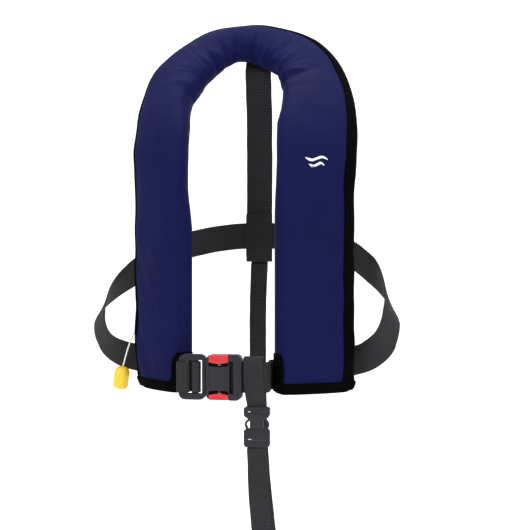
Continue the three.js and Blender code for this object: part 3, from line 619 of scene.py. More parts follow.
def stripSolid(name, rings, paint):
    # a grid of rows whose first and last rows and sides are joined into one closed skin
    rings = np.asarray(rings, float)
    n, m = rings.shape[:2]
    index = np.arange(n * m).reshape(n, m)
    faces = []
    uvs = []
    for k in range(n):
        kk = (k + 1) % n
        for i in range(m - 1):
            faces.append((index[k, i], index[k, i + 1], index[kk, i + 1], index[kk, i]))
            left, right = i * 0.004, i * 0.004 + 0.004
            low, high = k * 0.001, k * 0.001 + 0.001
            uvs += [(left, low), (right, low), (right, high), (left, high)]
    for i in (0, m - 1):
        faces.append([int(index[k, i]) for k in range(n)])
        uvs += [(0, k * 0.001) for k in range(n)]
    return facingOut(build(name, rings.reshape(-1, 3), faces, paint, uvs))


for side in ("left", "right"):
    binding = stripSolid(f"{side}_foot_binding", footBinding(side), "trim")
    standFor(binding, "jacket", "trim_black", f"{side}_bottom_binding")

patchSizes = {"low": 12, "high": 50, "lift": 0.5, "thick": 1.1, "from": {"left": 0.905, "right": 0.85}}


def cornerPatch(name):
    sizes = patchSizes
    atStart = name == "left"
    shell = coverU.shape[1] // 2
    rows = []
    heights = np.linspace(sizes["low"] - 4, sizes["high"], 30)
    for layer in (0, 1):
        for height in heights if layer == 0 else heights[::-1]:
            station = int(round(height / (runLength / (runSizes["count"] - 1))))
            k = station if atStart else runSizes["count"] - 1 - station
            lift = sizes["lift"] + (sizes["thick"] if layer == 0 else 0)
            # the patch narrows towards its top with a rounded corner
            t = np.clip((height - sizes["high"] + 14) / 14, 0, 1)
            start = sizes["from"][name]
            rounding = 1 - math.sqrt(max(1 - t * t, 0))
            start = start + (0.97 - start) * rounding - 0.05 * (1 - height / sizes["high"])
            first = int(start * coverSizes["steps"]) + coverSizes["side"]
            picked = np.linspace(first, shell - 1, 26)
            u = np.interp(picked, np.arange(shell), coverU[k, :shell])
            v = np.interp(picked, np.arange(shell), coverV[k, :shell])
            nu, nv = -np.gradient(v), np.gradient(u)
            length = np.maximum(np.hypot(nu, nv), 1e-6)
            flip = np.sign((nu * u + nv * np.maximum(v, 0)).mean())
            u, v = u + flip * nu / length * lift, v + flip * nv / length * lift
            rows.append(onRun([k], u[None], v[None])[0])
    return rows


for side in ("left", "right"):
    patch = stripSolid(f"{side}_inner_patch", cornerPatch(side), "trim")
    standFor(patch, "jacket", "trim_black", f"{side}_corner_patch")


print("stage: webbing")


def treeStart(name, numbers):
    # a tree whose inputs are a mesh, the named numbers and a material
    tree = bpy.data.node_groups.new(name, "GeometryNodeTree")
    tree.interface.new_socket("Geometry", in_out="INPUT", socket_type="NodeSocketGeometry")
    keys = {}
    for label in (*numbers, "Material"):
        kind = "NodeSocketMaterial" if label == "Material" else "NodeSocketFloat"
        keys[label] = tree.interface.new_socket(label, in_out="INPUT", socket_type=kind).identifier
    tree.interface.new_socket("Geometry", in_out="OUTPUT", socket_type="NodeSocketGeometry")
    return tree, keys, tree.nodes.new("NodeGroupInput").outputs


def treeEnd(tree, start, geometry):
    real = addNode(tree, "GeometryNodeRealizeInstances", {"Geometry": geometry}).outputs["Geometry"]
    painted = addNode(tree, "GeometryNodeSetMaterial", {"Geometry": real, "Material": start["Material"]})
    addNode(tree, "NodeGroupOutput", {"Geometry": painted.outputs["Geometry"]})


def grown(obj, tree, keys, values):
    # runs a tree on an object once and keeps the plain mesh
    layer = modified(obj, "NODES")
    layer.node_group = tree
    for label, value in values.items():
        layer[keys[label]] = value
    return baked(obj)


def ribTree():
    # lifts the crosswise ribs out of a webbing mesh that carries its length in millimetres as "along"
    tree, keys, start = treeStart("webbing_ribs", ("Rib pitch", "Rib rise"))
    along = addNode(tree, "GeometryNodeInputNamedAttribute", {"Name": "along"}, data_type="FLOAT")
    turns = maths(tree, "DIVIDE", along.outputs["Attribute"], start["Rib pitch"])
    wave = maths(tree, "COSINE", maths(tree, "MULTIPLY", turns, 2 * math.pi))
    height = maths(tree, "MULTIPLY", wave, start["Rib rise"])
    normal = tree.nodes.new("GeometryNodeInputNormal").outputs["Normal"]
    scaled = addNode(tree, "ShaderNodeVectorMath", {0: normal, "Scale": height}, operation="SCALE")
    offset = {"Geometry": start["Geometry"], "Offset": scaled.outputs["Vector"]}
    moved = addNode(tree, "GeometryNodeSetPosition", offset)
    treeEnd(tree, start, moved.outputs["Geometry"])
    return tree, keys


ribGroup, ribKeys = ribTree()
ribSizes = {"pitch": 2.1, "rise": 0.00014, "step": 0.525}


def ribbonFrames(points, hint, count, flutter, seed):
    path = spline(points, count)
    tangent = unit(np.gradient(path, axis=0))
    hints = np.asarray(hint, float)
    if hints.ndim == 2:
        # one hint for each point, carried along the path between them
        marks = [int(np.argmin(np.linalg.norm(path - point, axis=1))) for point in np.asarray(points, float)]
        hints = np.stack([np.interp(np.arange(len(path)), marks, hints[:, k]) for k in range(3)], axis=1)
    hints = np.broadcast_to(hints, path.shape)
    out = unit(np.cross(tangent, hints))
    across = unit(np.cross(out, tangent))
    along = walked(path)
    if flutter:
        roll = flutter * wander(along, (92, 61, 143), seed)
        ends = smooth(along, 0, 25) * smooth(along[-1] - along, 0, 25)
        angle = (roll * ends)[:, None]
        turned = across * np.cos(angle) + out * np.sin(angle)
        out = out * np.cos(angle) - across * np.sin(angle)
        across = turned
    return {"path": path, "across": across, "out": out, "along": along}


def webbingStrap(name, points, hint, width, nodes, seed, thick=1.7, flutter=0.0, body="jacket"):
    rough = np.asarray(points, float)
    length = np.linalg.norm(np.diff(rough, axis=0), axis=1).sum()
    count = int(length * 1.03 / ribSizes["step"])
    frames = ribbonFrames(points, hint, count, flutter, seed)
    half, h = width / 2, thick / 2
    edge = 0.35 * h
    face = [(-half + 0.35, h - edge), (-half + 1.2, h), (-half * 0.33, h),
            (half * 0.33, h), (half - 1.2, h), (half - 0.35, h - edge)]
    under = [(u, -v) for u, v in reversed(face)]
    outline = np.array([(-half + 0.1, 0), *face, (half - 0.1, 0), *under])
    drift = 0.25 * wander(frames["along"], (57, 83, 33), seed + 3)
    u = outline[None, :, 0] + drift[:, None]
    v = outline[None, :, 1]
    rings = frames["path"][:, None] + frames["across"][:, None] * u[..., None]
    rings = rings + frames["out"][:, None] * v[..., None]
    made = loft(name, rings, frames["along"], "webbing")
    attribute = made.data.attributes.new("along", "FLOAT", "POINT")
    attribute.data.foreach_set("value", np.repeat(frames["along"], len(outline)).astype(np.float32))
    values = {"Rib pitch": ribSizes["pitch"], "Rib rise": ribSizes["rise"], "Material": paints["webbing"]}
    grown(made, ribGroup, ribKeys, values)
    standFor(made, body, "webbing_grey", *nodes)
    return made, frames


beltHeight = -449
beltBehind = 22.5
near, far = 55, 50
beltLine = [
    (4, -200, -449), (22, -199.5, -449), (41, -199, -449), (46.5, -193.5, -449), (47.5, -180, -449),
    atPanel("left", -near, -beltBehind + 2, beltHeight),
    atPanel("left", -near + 14, -beltBehind, beltHeight), atPanel("left", 0, -beltBehind, beltHeight + 2),
    atPanel("left", far - 12, -beltBehind, beltHeight + 6),
    atPanel("left", far + 4, -beltBehind - 1, beltHeight + 11), (166, -112, -428), (188, -122, -405),
    (195, -108, -378), (188, -80, -350), (165, -36, -318), (120, 12, -288), (60, 36, -272), (0, 39, -268),
    (-60, 36, -272), (-120, 12, -288), (-166, -36, -320), (-192, -74, -352), (-200, -98, -384),
    (-190, -109, -410), (-168, -101, -430), atPanel("right", far + 2, -beltBehind - 2, beltHeight + 8),
    atPanel("right", far - 12, -beltBehind, beltHeight + 4), atPanel("right", 0, -beltBehind, beltHeight),
    atPanel("right", -near + 14, -beltBehind, beltHeight),
    atPanel("right", -near, -beltBehind + 1, beltHeight), (-48.5, -178, -449),
]
# which way the belt's width points: upright, and turned where the belt bends round at each side
beltTurns = {
    10: (-0.2, -0.2, 0.9), 11: (-0.5, -0.5, 0.7), 12: (-0.5, -0.4, 0.75), 13: (-0.25, -0.2, 0.9),
    20: (0.1, -0.1, 1), 21: (0.35, -0.35, 0.85), 22: (0.6, -0.6, 0.5), 23: (0.55, -0.6, 0.55),
    24: (0.25, -0.3, 0.9),
}
beltAcross = [beltTurns.get(k, (0, 0, 1)) for k in range(len(beltLine))]
webbingStrap("waist_belt_webbing", beltLine, beltAcross, 38, ["waist_belt"], 2)

tongueLine = [
    (-48.5, -178.3), (-50, -185.5), (-54.6, -191.4), (-57, -192.3), (-61.5, -193), (-64.7, -194),
    (-65.4, -197), (-65.4, -200), (-65.2, -204), (-64.2, -206.4), (-61, -206.9), (-55.2, -206.8),
    (-51.8, -206), (-50.4, -203.4), (-50, -200.6), (-48.6, -196.8), (-46, -195.7), (-43, -195.6),
    (-39.5, -195.9), (-37.4, -197.6), (-36.9, -200), (-37.4, -202.4), (-39.6, -204.1), (-43, -204.4),
    (-46.2, -204.2),
]
tongueWeb, _ = webbingStrap("tongue_belt_end", [(x, y, beltHeight) for x, y in tongueLine], (0, 0, 1), 38,
                            ["tongue_webbing"], 3, thick=1.6, body=None)
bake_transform(tongueWeb)

napeAcross = unit(np.array(nape[1], float))
napeOut = np.array([0, -napeAcross[2], napeAcross[1]])
# behind the lining, its quilting and half the strap
collarBack = -nape[3] / 2 - 4.7


def onCollar(u):
    return np.array([0, nape[0][1], nape[0][2]]) + napeAcross * u + napeOut * collarBack


strapLine = [
    onCollar(10), onCollar(-12), onCollar(-nape[2] / 2 - 1), (0, 20, -50), (0, 28, -100), (-1, 36, -180),
    (-2, 41.5, -240), (-2, 42, -306),
]
webbingStrap("back_strap_webbing", strapLine, (1, 0, 0), 38, ["back_strap"], 5, flutter=0.02)
loopLine = [
    (-2, 39.4, -236), (-2, 36.6, -246), (-2, 36, -268), (-2, 36.6, -290), (-2, 38, -300), (-2, 39.6, -306),
]
_, loopFrames = webbingStrap("back_strap_fold", loopLine, (1, 0, 0), 39, ["back_strap_loop"], 6)

clip = {"x": 34, "depth": -197, "top": -485}
crotchLoopLine = [
    (-1.1, -3.4), (-1.2, 2), (-4.5, 14), (-6.5, 36), (-6, 56), (0.5, 61), (5, 56), (5.5, 36), (5.2, 14),
    (1.2, 2), (1.1, -3.4),
]
crotchLoopLine = [
    (clip["x"] - min(max(z * 0.12, 0), 4), clip["depth"] + y, clip["top"] + z) for y, z in crotchLoopLine
]
_, crotchLoopFrames = webbingStrap("crotch_belt_loop", crotchLoopLine, (1, 0, 0), 25, ["crotch_loop"], 7,
                                   thick=1.6)
frontLine = [
    (34, -196.4, -532), (34.5, -196.8, -545), (36, -191, -600), (37, -166, -655), (34, -112, -700),
    (30, -74, -717), (26, -46, -722),
]
crotchFront, _ = webbingStrap("crotch_front_run", frontLine, (1, 0, 0), 25, ["crotch_strap_front"], 8,
                              body=None)
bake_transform(crotchFront)
backLine = [
    (25.9, -45, -721.95), (22, -18, -716), (12, 22, -690), (3, 42, -640), (-4, 50, -560), (-6, 50, -450),
    (-5, 47, -360), (-3, 45.2, -320), (-2, 44.6, -288),
]
webbingStrap("crotch_back_run", backLine, (1, 0, 0), 25, ["crotch_strap_back"], 9, flutter=0.04)
foldLine = [
    (-2.5, 42.6, -309), (-3.2, 42.7, -322), (-4, 44.2, -340), (-4.5, 44.6, -356),
]
_, foldFrames = webbingStrap("crotch_back_doubled", foldLine, (1, 0, 0), 25, ["crotch_back_fold"], 10,
                             thick=1.5)
tailLine = [
    (34, -199.4, -535.5), (34.5, -199.4, -547), (35.6, -194.6, -600), (36.5, -180.5, -638),
    (36.8, -175.8, -650),
]
_, tailFrames = webbingStrap(
    "crotch_free_tail", tailLine, (1, 0, 0), 25, ["crotch_strap_tail"], 11, thick=1.5, body="crotch_lower",
)

print("stage: belt sleeves")
sleeveSizes = {"half": 30, "low": -469.8, "high": -417.8, "wall": 1.2, "deep": 5.8, "back": -19.6}


def beltSleeve(name):
    sizes = sleeveSizes
    low, high, back = sizes["low"], sizes["high"], sizes["back"]
    deep, wall = sizes["deep"], sizes["wall"]
    corners = [
        (low, back), (low, back - deep), (low + 2.4, back - deep - wall), (high - 2.4, back - deep - wall),
        (high, back - deep), (high, back), (high - wall, back), (high - wall, back - deep + 0.6),
        (high - 3, back - deep), (low + 3, back - deep), (low + wall, back - deep + 0.6),
        (low + wall, back),
    ]
    outline = []
    for (z, v), (nextZ, nextV) in zip(corners, corners[1:] + corners[:1]):
        for t in np.linspace(0, 1, 7)[:-1]:
            outline.append((z + (nextZ - z) * t, v + (nextV - v) * t))
    outline = np.array(outline)
    rows = []
    out = panelAxes(name)[1]
    span = np.linspace(-sizes["half"], sizes["half"], 41)
    for u in span:
        mid = (outline[:, 0] - low) / (high - low)
        sag = 0.45 * math.sin(u / 9) * np.sin(math.pi * mid)
        row = np.array([atPanel(name, u, 0, 0)] * len(outline))
        row = row + np.outer(outline[:, 1] + sag * (outline[:, 1] < back - 3), out)
        row[:, 2] = outline[:, 0]
        rows.append(row)
    made = loft(f"{name}_sleeve_cloth", rows, span + sizes["half"], "trim")
    standFor(made, "jacket", "trim_black", f"{name}_belt_sleeve")


beltSleeve("left")
beltSleeve("right")


print("stage: buckles and inner fittings")


def dress(node, paint, edge):
    # a hard piece keeps its shape and gets its finish and its moulded edges
    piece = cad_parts[node]
    finished(piece, paint)
    modified(piece, "WELD", merge_threshold=0.00001)
    modified(
        piece, "BEVEL", width=edge / 1000, segments=3, limit_method="ANGLE", angle_limit=math.radians(32),
        harden_normals=True, use_clamp_overlap=True,
    )


hardPieces = {
    "crotch_prong_left": ("plastic", 0.5), "crotch_prong_right": ("plastic", 0.5),
    "inflator_body": ("plastic", 1.2), "gas_bottle": ("steel", 0.4), "bottle_gasket": ("rubber", 0.3),
    "firing_pin": ("brass", 0.2), "lever_pivot_pin": ("steel", 0.3), "firing_lever": ("yellow", 0.6),
    "water_cartridge": ("green", 0.6), "status_clip": ("green", 0.4), "manifold_stem": ("brass", 0.4),
    "manifold_nut": ("brass", 0.4), "oral_tube": ("rubber", 0.4), "oral_valve": ("red", 0.4),
    "oral_cap": ("rubber", 0.5), "whistle": ("yellow", 0.6),
}
for node, (paint, edge) in hardPieces.items():
    dress(node, paint, edge)


def insideBladder():
    # the folded bladder, creased lengthwise where it is packed under the cover
    sizes = {"leftEnd": 91, "rightEnd": 280.5, "edge": 5.5, "leftInner": 30, "leftTop": 256, "power": 2.8}
    within = (run["along"] > sizes["leftEnd"]) & (run["along"] < runLength - sizes["rightEnd"])
    keep = everyStation[within][::2]
    angles = np.linspace(0, math.pi, 33)
    half = run["width"][keep] / 2 - sizes["edge"]
    high = run["thick"][keep] / 2 - 6
    power = 2 / sizes["power"]
    lateral = np.sign(np.cos(angles)) * np.abs(np.cos(angles)) ** power
    reachIn = np.minimum(half, innerHalf[keep] - sizes["edge"])
    u = np.where(lateral > 0, half[:, None], reachIn[:, None]) * lateral
    v = high[:, None] * np.abs(np.sin(angles)) ** power
    s = run["along"][keep][:, None]
    crease = np.abs(np.sin(u / 6.5 + 0.6 * np.sin(s / 38)))
    v = v - 1.6 * (1 - crease) * np.sin(angles) ** 0.5 - 0.5 * np.abs(np.sin(s / 21 + u / 30))
    onLeftPanel = s < sizes["leftTop"]
    u = np.where(onLeftPanel, np.maximum(u, -sizes["leftInner"]), u)
    v = v * 0.86 - 0.6
    back = (-run["thick"][keep] / 2 + 1.4)[:, None]
    flat = np.linspace(-1, 1, 17)
    low = np.where(onLeftPanel, -sizes["leftInner"], -(innerBack[keep] - 5)[:, None])
    backU = low + (half[:, None] * 0.99 - low) * (flat + 1) / 2
    backV = back + 0.3 * np.abs(np.sin(backU / 5))
    ringU = np.concatenate([u, backU], axis=1)
    ringV = np.concatenate([np.maximum(v, back + 2), backV], axis=1)
    made = loft("packed_bladder", onRun(keep, ringU, ringV), run["along"][keep], "bladder")
    standFor(made, "jacket", "bladder_yellow", "folded_bladder")


insideBladder()

print("stage: pull cord and toggle")
pullSizes = {
    "top": atPanel("right", 67.84, 17.14, -447), "line": unit(np.array([0.355, 0.02, 0.934])),
    "length": 65.7, "radius": 1.0, "bow": 2.2, "toggle": 10.4, "long": 31,
}


def pullCord():
    sizes = pullSizes
    t = np.linspace(0, 1, 150)
    sideways = unit(np.cross(sizes["line"], np.array([0, 1, 0])))
    path = sizes["top"] + np.outer(0.3 + sizes["length"] * t, sizes["line"])
    path = path + np.outer(sizes["bow"] * np.sin(math.pi * t) ** 1.3, sideways)
    tangent = unit(np.gradient(path, axis=0))
    first = unit(np.cross(tangent, [0, 1, 0]))
    second = np.cross(tangent, first)
    angles = np.linspace(0, 2 * math.pi, 17)[:-1]
    along = sizes["length"] * t
    turn = along[:, None] * 2.6
    braid = 0.06 * (np.sin(4 * angles[None] + turn) * np.sin(4 * angles[None] - turn))
    radius = (sizes["radius"] * 0.98 + braid)[..., None]
    circle = np.cos(angles)[:, None] * first[:, None] + np.sin(angles)[:, None] * second[:, None]
    rings = path[:, None] + radius * circle
    made = loft("pull_cord_braid", rings, along, "cord")
    standFor(made, "pull_handle", "cord_white", "pull_cord")
    return made, path[::-1]


def toggle():
    sizes = pullSizes
    r, long = sizes["toggle"], sizes["long"]
    profile = [
        (0.02, 0), (0.22, -0.004), (0.3, -0.012), (0.55, -0.035), (0.8, -0.11), (0.94, -0.22), (1, -0.36),
        (0.99, -0.5), (0.97, -0.62), (0.965, -0.74), (0.93, -0.86), (0.78, -0.95), (0.5, -0.99),
        (0.02, -1.0),
    ]
    dense = spline(np.array([(a * r, 0, b * long) for a, b in profile]), 90)
    angles = np.linspace(0, 2 * math.pi, 73)[:-1]
    tilt = unit(np.array([0.12, 0.02, 1.0]))
    first = unit(np.cross([0, 1, 0], tilt))
    second = np.cross(tilt, first)
    rings = []
    for radius, _, z in dense:
        depth = -z / long
        gripped = smooth(depth, 0.1, 0.3) * (1 - smooth(depth, 0.8, 0.95))
        dimple = 0.16 * math.sin(depth * 34) * np.sin(9 * angles) * gripped
        groove = 0.35 * math.exp(-(((depth - 0.42) / 0.02) ** 2))
        reach = np.maximum(radius + dimple - groove, 0.02)
        circle = np.outer(reach * np.cos(angles), first) + np.outer(reach * np.sin(angles), second)
        rings.append(sizes["top"] + tilt * z + circle)
    made = loft("pull_toggle_moulding", rings, dense[:, 2], "yellow")
    standFor(made, "pull_handle", "handle_yellow", "pull_toggle")
    return made


toggleMade = toggle()
cordMade, cordPath = pullCord()

print("stage: stitching")


def stitchTree():
    # a small bead of thread at every step along an edge chain
    tree, keys, start = treeStart("stitch_row", ("Pitch", "Stitch length", "Thread radius"))
    line = addNode(tree, "GeometryNodeMeshToCurve", {"Mesh": start["Geometry"]}).outputs["Curve"]
    spots = addNode(tree, "GeometryNodeCurveToPoints", {"Curve": line, "Length": start["Pitch"]},
                    mode="LENGTH")
    turn = addNode(tree, "FunctionNodeAlignRotationToVector", {"Vector": spots.outputs["Tangent"]}, axis="Z")
    bead = addNode(tree, "GeometryNodeMeshUVSphere", {"Segments": 6, "Rings": 5, "Radius": 1}).outputs["Mesh"]
    soft = addNode(tree, "GeometryNodeSetShadeSmooth", {"Geometry": bead}).outputs["Geometry"]
    radius = start["Thread radius"]
    halved = maths(tree, "MULTIPLY", start["Stitch length"], 0.5)
    sizes = addNode(tree, "ShaderNodeCombineXYZ", {"X": radius, "Y": radius, "Z": halved}).outputs["Vector"]
    copies = addNode(tree, "GeometryNodeInstanceOnPoints", {
        "Points": spots.outputs["Points"], "Instance": soft, "Rotation": turn.outputs["Rotation"],
        "Scale": sizes})
    treeEnd(tree, start, copies.outputs["Instances"])
    return tree, keys


stitchGroup, stitchKeys = stitchTree()


def stitches(name, rows, body, paint="darkThread", pitch=3.0, long=2.3, radius=0.22):
    # rows of drawing points; one mesh of separate stitches
    points = []
    edges = []
    for row in rows:
        first = len(points)
        points += list(np.asarray(row, float))
        edges += [(k, k + 1) for k in range(first, len(points) - 1)]
    mesh = bpy.data.meshes.new(name)
    mesh.from_pydata(place(points).tolist(), edges, [])
    values = {"Pitch": pitch / 1000, "Stitch length": long / 1000, "Thread radius": radius / 1000,
              "Material": paints[paint]}
    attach(grown(linked(name, mesh), stitchGroup, stitchKeys, values), body)


def onStrap(frames, distance, u, lift):
    # a point on a strap's face: distance along it, u across it
    k = int(np.clip(np.searchsorted(frames["along"], distance), 0, len(frames["along"]) - 1))
    return frames["path"][k] + frames["across"][k] * u + frames["out"][k] * lift


def crossRow(frames, distance, half, lift):
    return [onStrap(frames, distance, u, lift) for u in np.linspace(-half, half, 24)]


def boxCross(frames, low, high, half, lift):
    # a sewn rectangle with both of its diagonals
    path = [(low, -half), (low, half), (high, half), (high, -half), (low, -half), (high, half)]
    rows = []
    for (d0, u0), (d1, u1) in [*zip(path[:-1], path[1:]), ((low, half), (high, -half))]:
        spots = [(d0 + (d1 - d0) * t, u0 + (u1 - u0) * t) for t in np.linspace(0, 1, 20)]
        rows.append([onStrap(frames, distance, u, lift) for distance, u in spots])
    return rows


def frontLift(frames, thick):
    # which way a strap's outward normal has to be lifted to face the front
    k = len(frames["along"]) // 2
    return (thick / 2 + 0.12) * (-1 if frames["out"][k][1] > 0 else 1)


loopLift = frontLift(loopFrames, 1.7)
stitches("fold_stitching", [crossRow(loopFrames, 4.5, 16.5, loopLift),
                            crossRow(loopFrames, 8, 16.5, loopLift),
                            crossRow(loopFrames, loopFrames["along"][-1] - 5, 16.5, loopLift)], "jacket")
tailEnd = tailFrames["along"][-1]
tailLift = frontLift(tailFrames, 1.5)
stitches("tail_hem_stitching", [crossRow(tailFrames, tailEnd - 4, 11, tailLift),
                                crossRow(tailFrames, tailEnd - 20, 11, tailLift)], "crotch_lower", pitch=2.4,
                                long=1.8)
foldLift = frontLift(foldFrames, 1.5)
stitches("doubled_stitching", boxCross(foldFrames, 6, 28, 9.5, foldLift), "jacket", pitch=2.4, long=1.8)
lowLift = 0.95 if crotchLoopFrames["out"][int(12 / ribSizes["step"])][1] < 0 else -0.95
loopLow = [crossRow(crotchLoopFrames, distance, 10.5, lowLift) for distance in (8, 12)]
stitches("belt_loop_stitching", loopLow, "jacket", pitch=2.4, long=1.8)


def surfaceRow(shellIndex, indices, lift=0.25):
    # a line of the cover's own cloth, at one place of its outline
    low = int(shellIndex)
    part = shellIndex - low
    u = coverU[indices, low] * (1 - part) + coverU[indices, low + 1] * part
    v = coverV[indices, low] * (1 - part) + coverV[indices, low + 1] * part
    du = coverU[indices, low + 1] - coverU[indices, low - 1]
    dv = coverV[indices, low + 1] - coverV[indices, low - 1]
    length = np.maximum(np.hypot(du, dv), 1e-6)
    nu, nv = dv / length, -du / length
    flip = np.where(nu * u + nv * np.maximum(v, 1) < 0, -1, 1)
    u, v = u + flip * nu * lift, v + flip * nv * lift
    return onRun(indices, u[:, None], v[:, None])[:, 0]


inner = everyStation[fromEnd > 12]
stitches("edge_topstitching", [surfaceRow(coverSizes["side"] + 4.0, inner)], "jacket", "thread", 3.2, 2.5,
         0.2)


def seamRow(middle, slant, offset):
    rows = []
    shell = range(coverSizes["side"] + 3, coverSizes["side"] + coverSizes["steps"] - 2)
    for i in shell:
        u = coverU[len(everyStation) // 2, i]
        s = middle + slant * u + offset
        k = int(np.argmin(np.abs(middleOfRun - s)))
        rows.append(surfaceRow(i, np.array([k]), 0.3)[0])
    return rows


seamRows = [seamRow(middle, slant, 3.4) for middle, slant in coverSeams]
stitches("shoulder_seam_stitching", seamRows, "jacket", "thread", 3.2, 2.5, 0.2)
liningRows = []
for column in (3, 10, 15, 20, 27):
    u = liningU[inner, column]
    backRow = liningV[inner, 61 - column] - 0.1
    liningRows.append(onRun(inner, u[:, None], backRow[:, None])[:, 0])
stitches("lining_quilting", liningRows, "jacket", "darkThread", 3.4, 2.6, 0.22)


print("stage: rebuilt buckle fronts")


def fromWork(work, name):
    # a bmesh becomes an object
    mesh = bpy.data.meshes.new(name)
    work.to_mesh(mesh)
    work.free()
    return linked(name, mesh)


def block(low, high, bevel=0.0):
    # a helper solid in drawing millimetres
    work = bmesh.new()
    bmesh.ops.create_cube(work, size=1)
    low, high = np.array(low, float), np.array(high, float)
    for vertex in work.verts:
        spot = (np.array(vertex.co) + 0.5) * (high - low) + low
        vertex.co = place(spot)
    if bevel:
        bmesh.ops.bevel(work, geom=work.edges[:], offset=bevel / 1000, segments=3, affect="EDGES",
                        profile=0.5)
    return fromWork(work, "helper")


def extruded(outline, y0, y1):
    # an outline in X and Z with a depth along Y
    work = bmesh.new()
    corners = [work.verts.new(place([x, y0, z])) for x, z in outline]
    face = work.faces.new(corners)
    pushed = bmesh.ops.extrude_face_region(work, geom=[face])
    moved = [v for v in pushed["geom"] if isinstance(v, bmesh.types.BMVert)]
    bmesh.ops.translate(work, verts=moved, vec=(0, (y1 - y0) / 1000, 0))
    bmesh.ops.recalc_face_normals(work, faces=work.faces)
    return fromWork(work, "extruded")


def copied(node, name):
    # a CAD node's mesh with its flat faces whole again, as a new piece
    work = bmesh.new()
    work.from_mesh(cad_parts[node].data)
    bmesh.ops.remove_doubles(work, verts=work.verts, dist=0.00001)
    bmesh.ops.dissolve_limit(work, angle_limit=math.radians(1), verts=work.verts, edges=work.edges)
    return fromWork(work, name)


def shaped(obj, cuts, adds, paint, bevel, body, node, slot):
    # cuts and joins helper solids, rounds the edges and hands the piece over
    for tool in cuts:
        modified(obj, "BOOLEAN", object=tool, operation="DIFFERENCE", solver="EXACT")
    for tool in adds:
        modified(obj, "BOOLEAN", object=tool, operation="UNION", solver="EXACT")
    if bevel:
        modified(
            obj, "BEVEL", width=bevel / 1000, segments=3, limit_method="ANGLE",
            angle_limit=math.radians(34), harden_normals=False, use_clamp_overlap=True,
        )
    baked(obj)
    for tool in cuts + adds:
        bpy.data.objects.remove(tool)
    finished(obj, paint)
    obj.data.set_sharp_from_angle(angle=math.radians(40))
    standFor(obj, body, slot, node)


def arcOutline(x0, x1, low, high, sag, sign):
    # a button's face: straight outer edge and a bowed inner edge
    bow = [(x1 + (x0 - x1) * t, low - sag * (1 - (2 * t - 1) ** 2)) for t in np.linspace(0, 1, 13)]
    top = [(x0 + 0.8, high), (x1 - 0.8, high)]
    line = top + [(x1, high - 0.8)] + bow + [(x0, high - 0.8)]
    return [(x, beltHeight + sign * z) for x, z in line]


buckleSizes = {
    "front": -207, "button": (-24.6, -0.4), "buttonLow": {"upper": 18.6, "lower": 21.8},
    "buttonHigh": 27.6, "cutHigh": 33, "sag": 1.6, "travel": 4.4, "panel": (-24, -1.5, 16.5),
    "rim": (22.8, 24.6), "bar": 25,
}


def waistBuckle():
    sizes = buckleSizes
    x0, x1 = sizes["button"]
    front, sag = sizes["front"], sizes["sag"]
    cuts = []
    faces = []
    for name, sign in (("upper", 1), ("lower", -1)):
        start = sizes["buttonLow"][name]
        outline = arcOutline(x0 - 0.4, x1 + 0.4, start - sizes["travel"], sizes["cutHigh"], sag, sign)
        cuts.append(extruded(outline, front - 1, front + 2.4))
        faces.append((name, sign, start))
    # a shallow panel sunk in the front, between the latch and the belt's slot
    left, right, half = sizes["panel"]
    low, high = beltHeight - half, beltHeight + half
    panel = [(left, low), (right, low), (right, high), (left, high)]
    cuts.append(extruded(panel, front - 1, front + 0.5))
    housing = copied("buckle_housing", "waist_buckle_housing")
    shaped(housing, cuts, [], "plastic", 0.7, "jacket", "buckle_housing", "buckle_plastic")
    for name, sign, start in faces:
        outline = arcOutline(x0, x1, start, sizes["buttonHigh"], sag, sign)
        face = extruded(outline, front - 0.1, front + 11.5)
        grooves = []
        for k in range(4):
            z = start + 1.6 + k * 1.1
            low, high = sorted((beltHeight + sign * z, beltHeight + sign * (z + 0.5)))
            grooves.append(block((x0 + 4, front - 1, low), (x1 - 4, front + 0.25, high)))
        shaped(face, grooves, [], "red", 0.5, f"{name}_button", f"release_button_{name}", "button_red")
        face.name = f"{name}_release_button"
    tongue = copied("buckle_tongue", "waist_buckle_tongue")
    (low, high), bar = sizes["rim"], sizes["bar"]
    rims = [block((-61.5, -206.2, beltHeight + low), (-35, -203, beltHeight + high), 0.5),
            block((-61.5, -206.2, beltHeight - high), (-35, -203, beltHeight - low), 0.5),
            block((-32.6, -206.4, beltHeight - bar), (-30.6, -203, beltHeight + bar), 0.5)]
    shaped(tongue, [], rims, "plastic", 0.8, "tongue", "buckle_tongue", "buckle_plastic")


def crotchClip():
    x, top = clip["x"], clip["top"]
    male = copied("crotch_clip_male", "crotch_clip_top")
    fishtail = [
        (-15.4, -9.4), (15.4, -9.4), (14.6, -12.4), (10.4, -14.2), (8.4, -17), (8.2, -26.6), (-8.2, -26.6),
        (-8.4, -17), (-10.4, -14.2), (-14.6, -12.4),
    ]
    shield = extruded([(x + a, top + b) for a, b in fishtail], -201.4, -199.7)
    shaped(male, [], [shield], "plastic", 0.45, "jacket", "crotch_clip_male", "buckle_plastic")
    female = copied("crotch_clip_female", "crotch_clip_socket")
    shaped(female, [], [], "plastic", 0.8, "crotch_lower", "crotch_clip_female", "buckle_plastic")


waistBuckle()
crotchClip()

print("stage: printed mark")


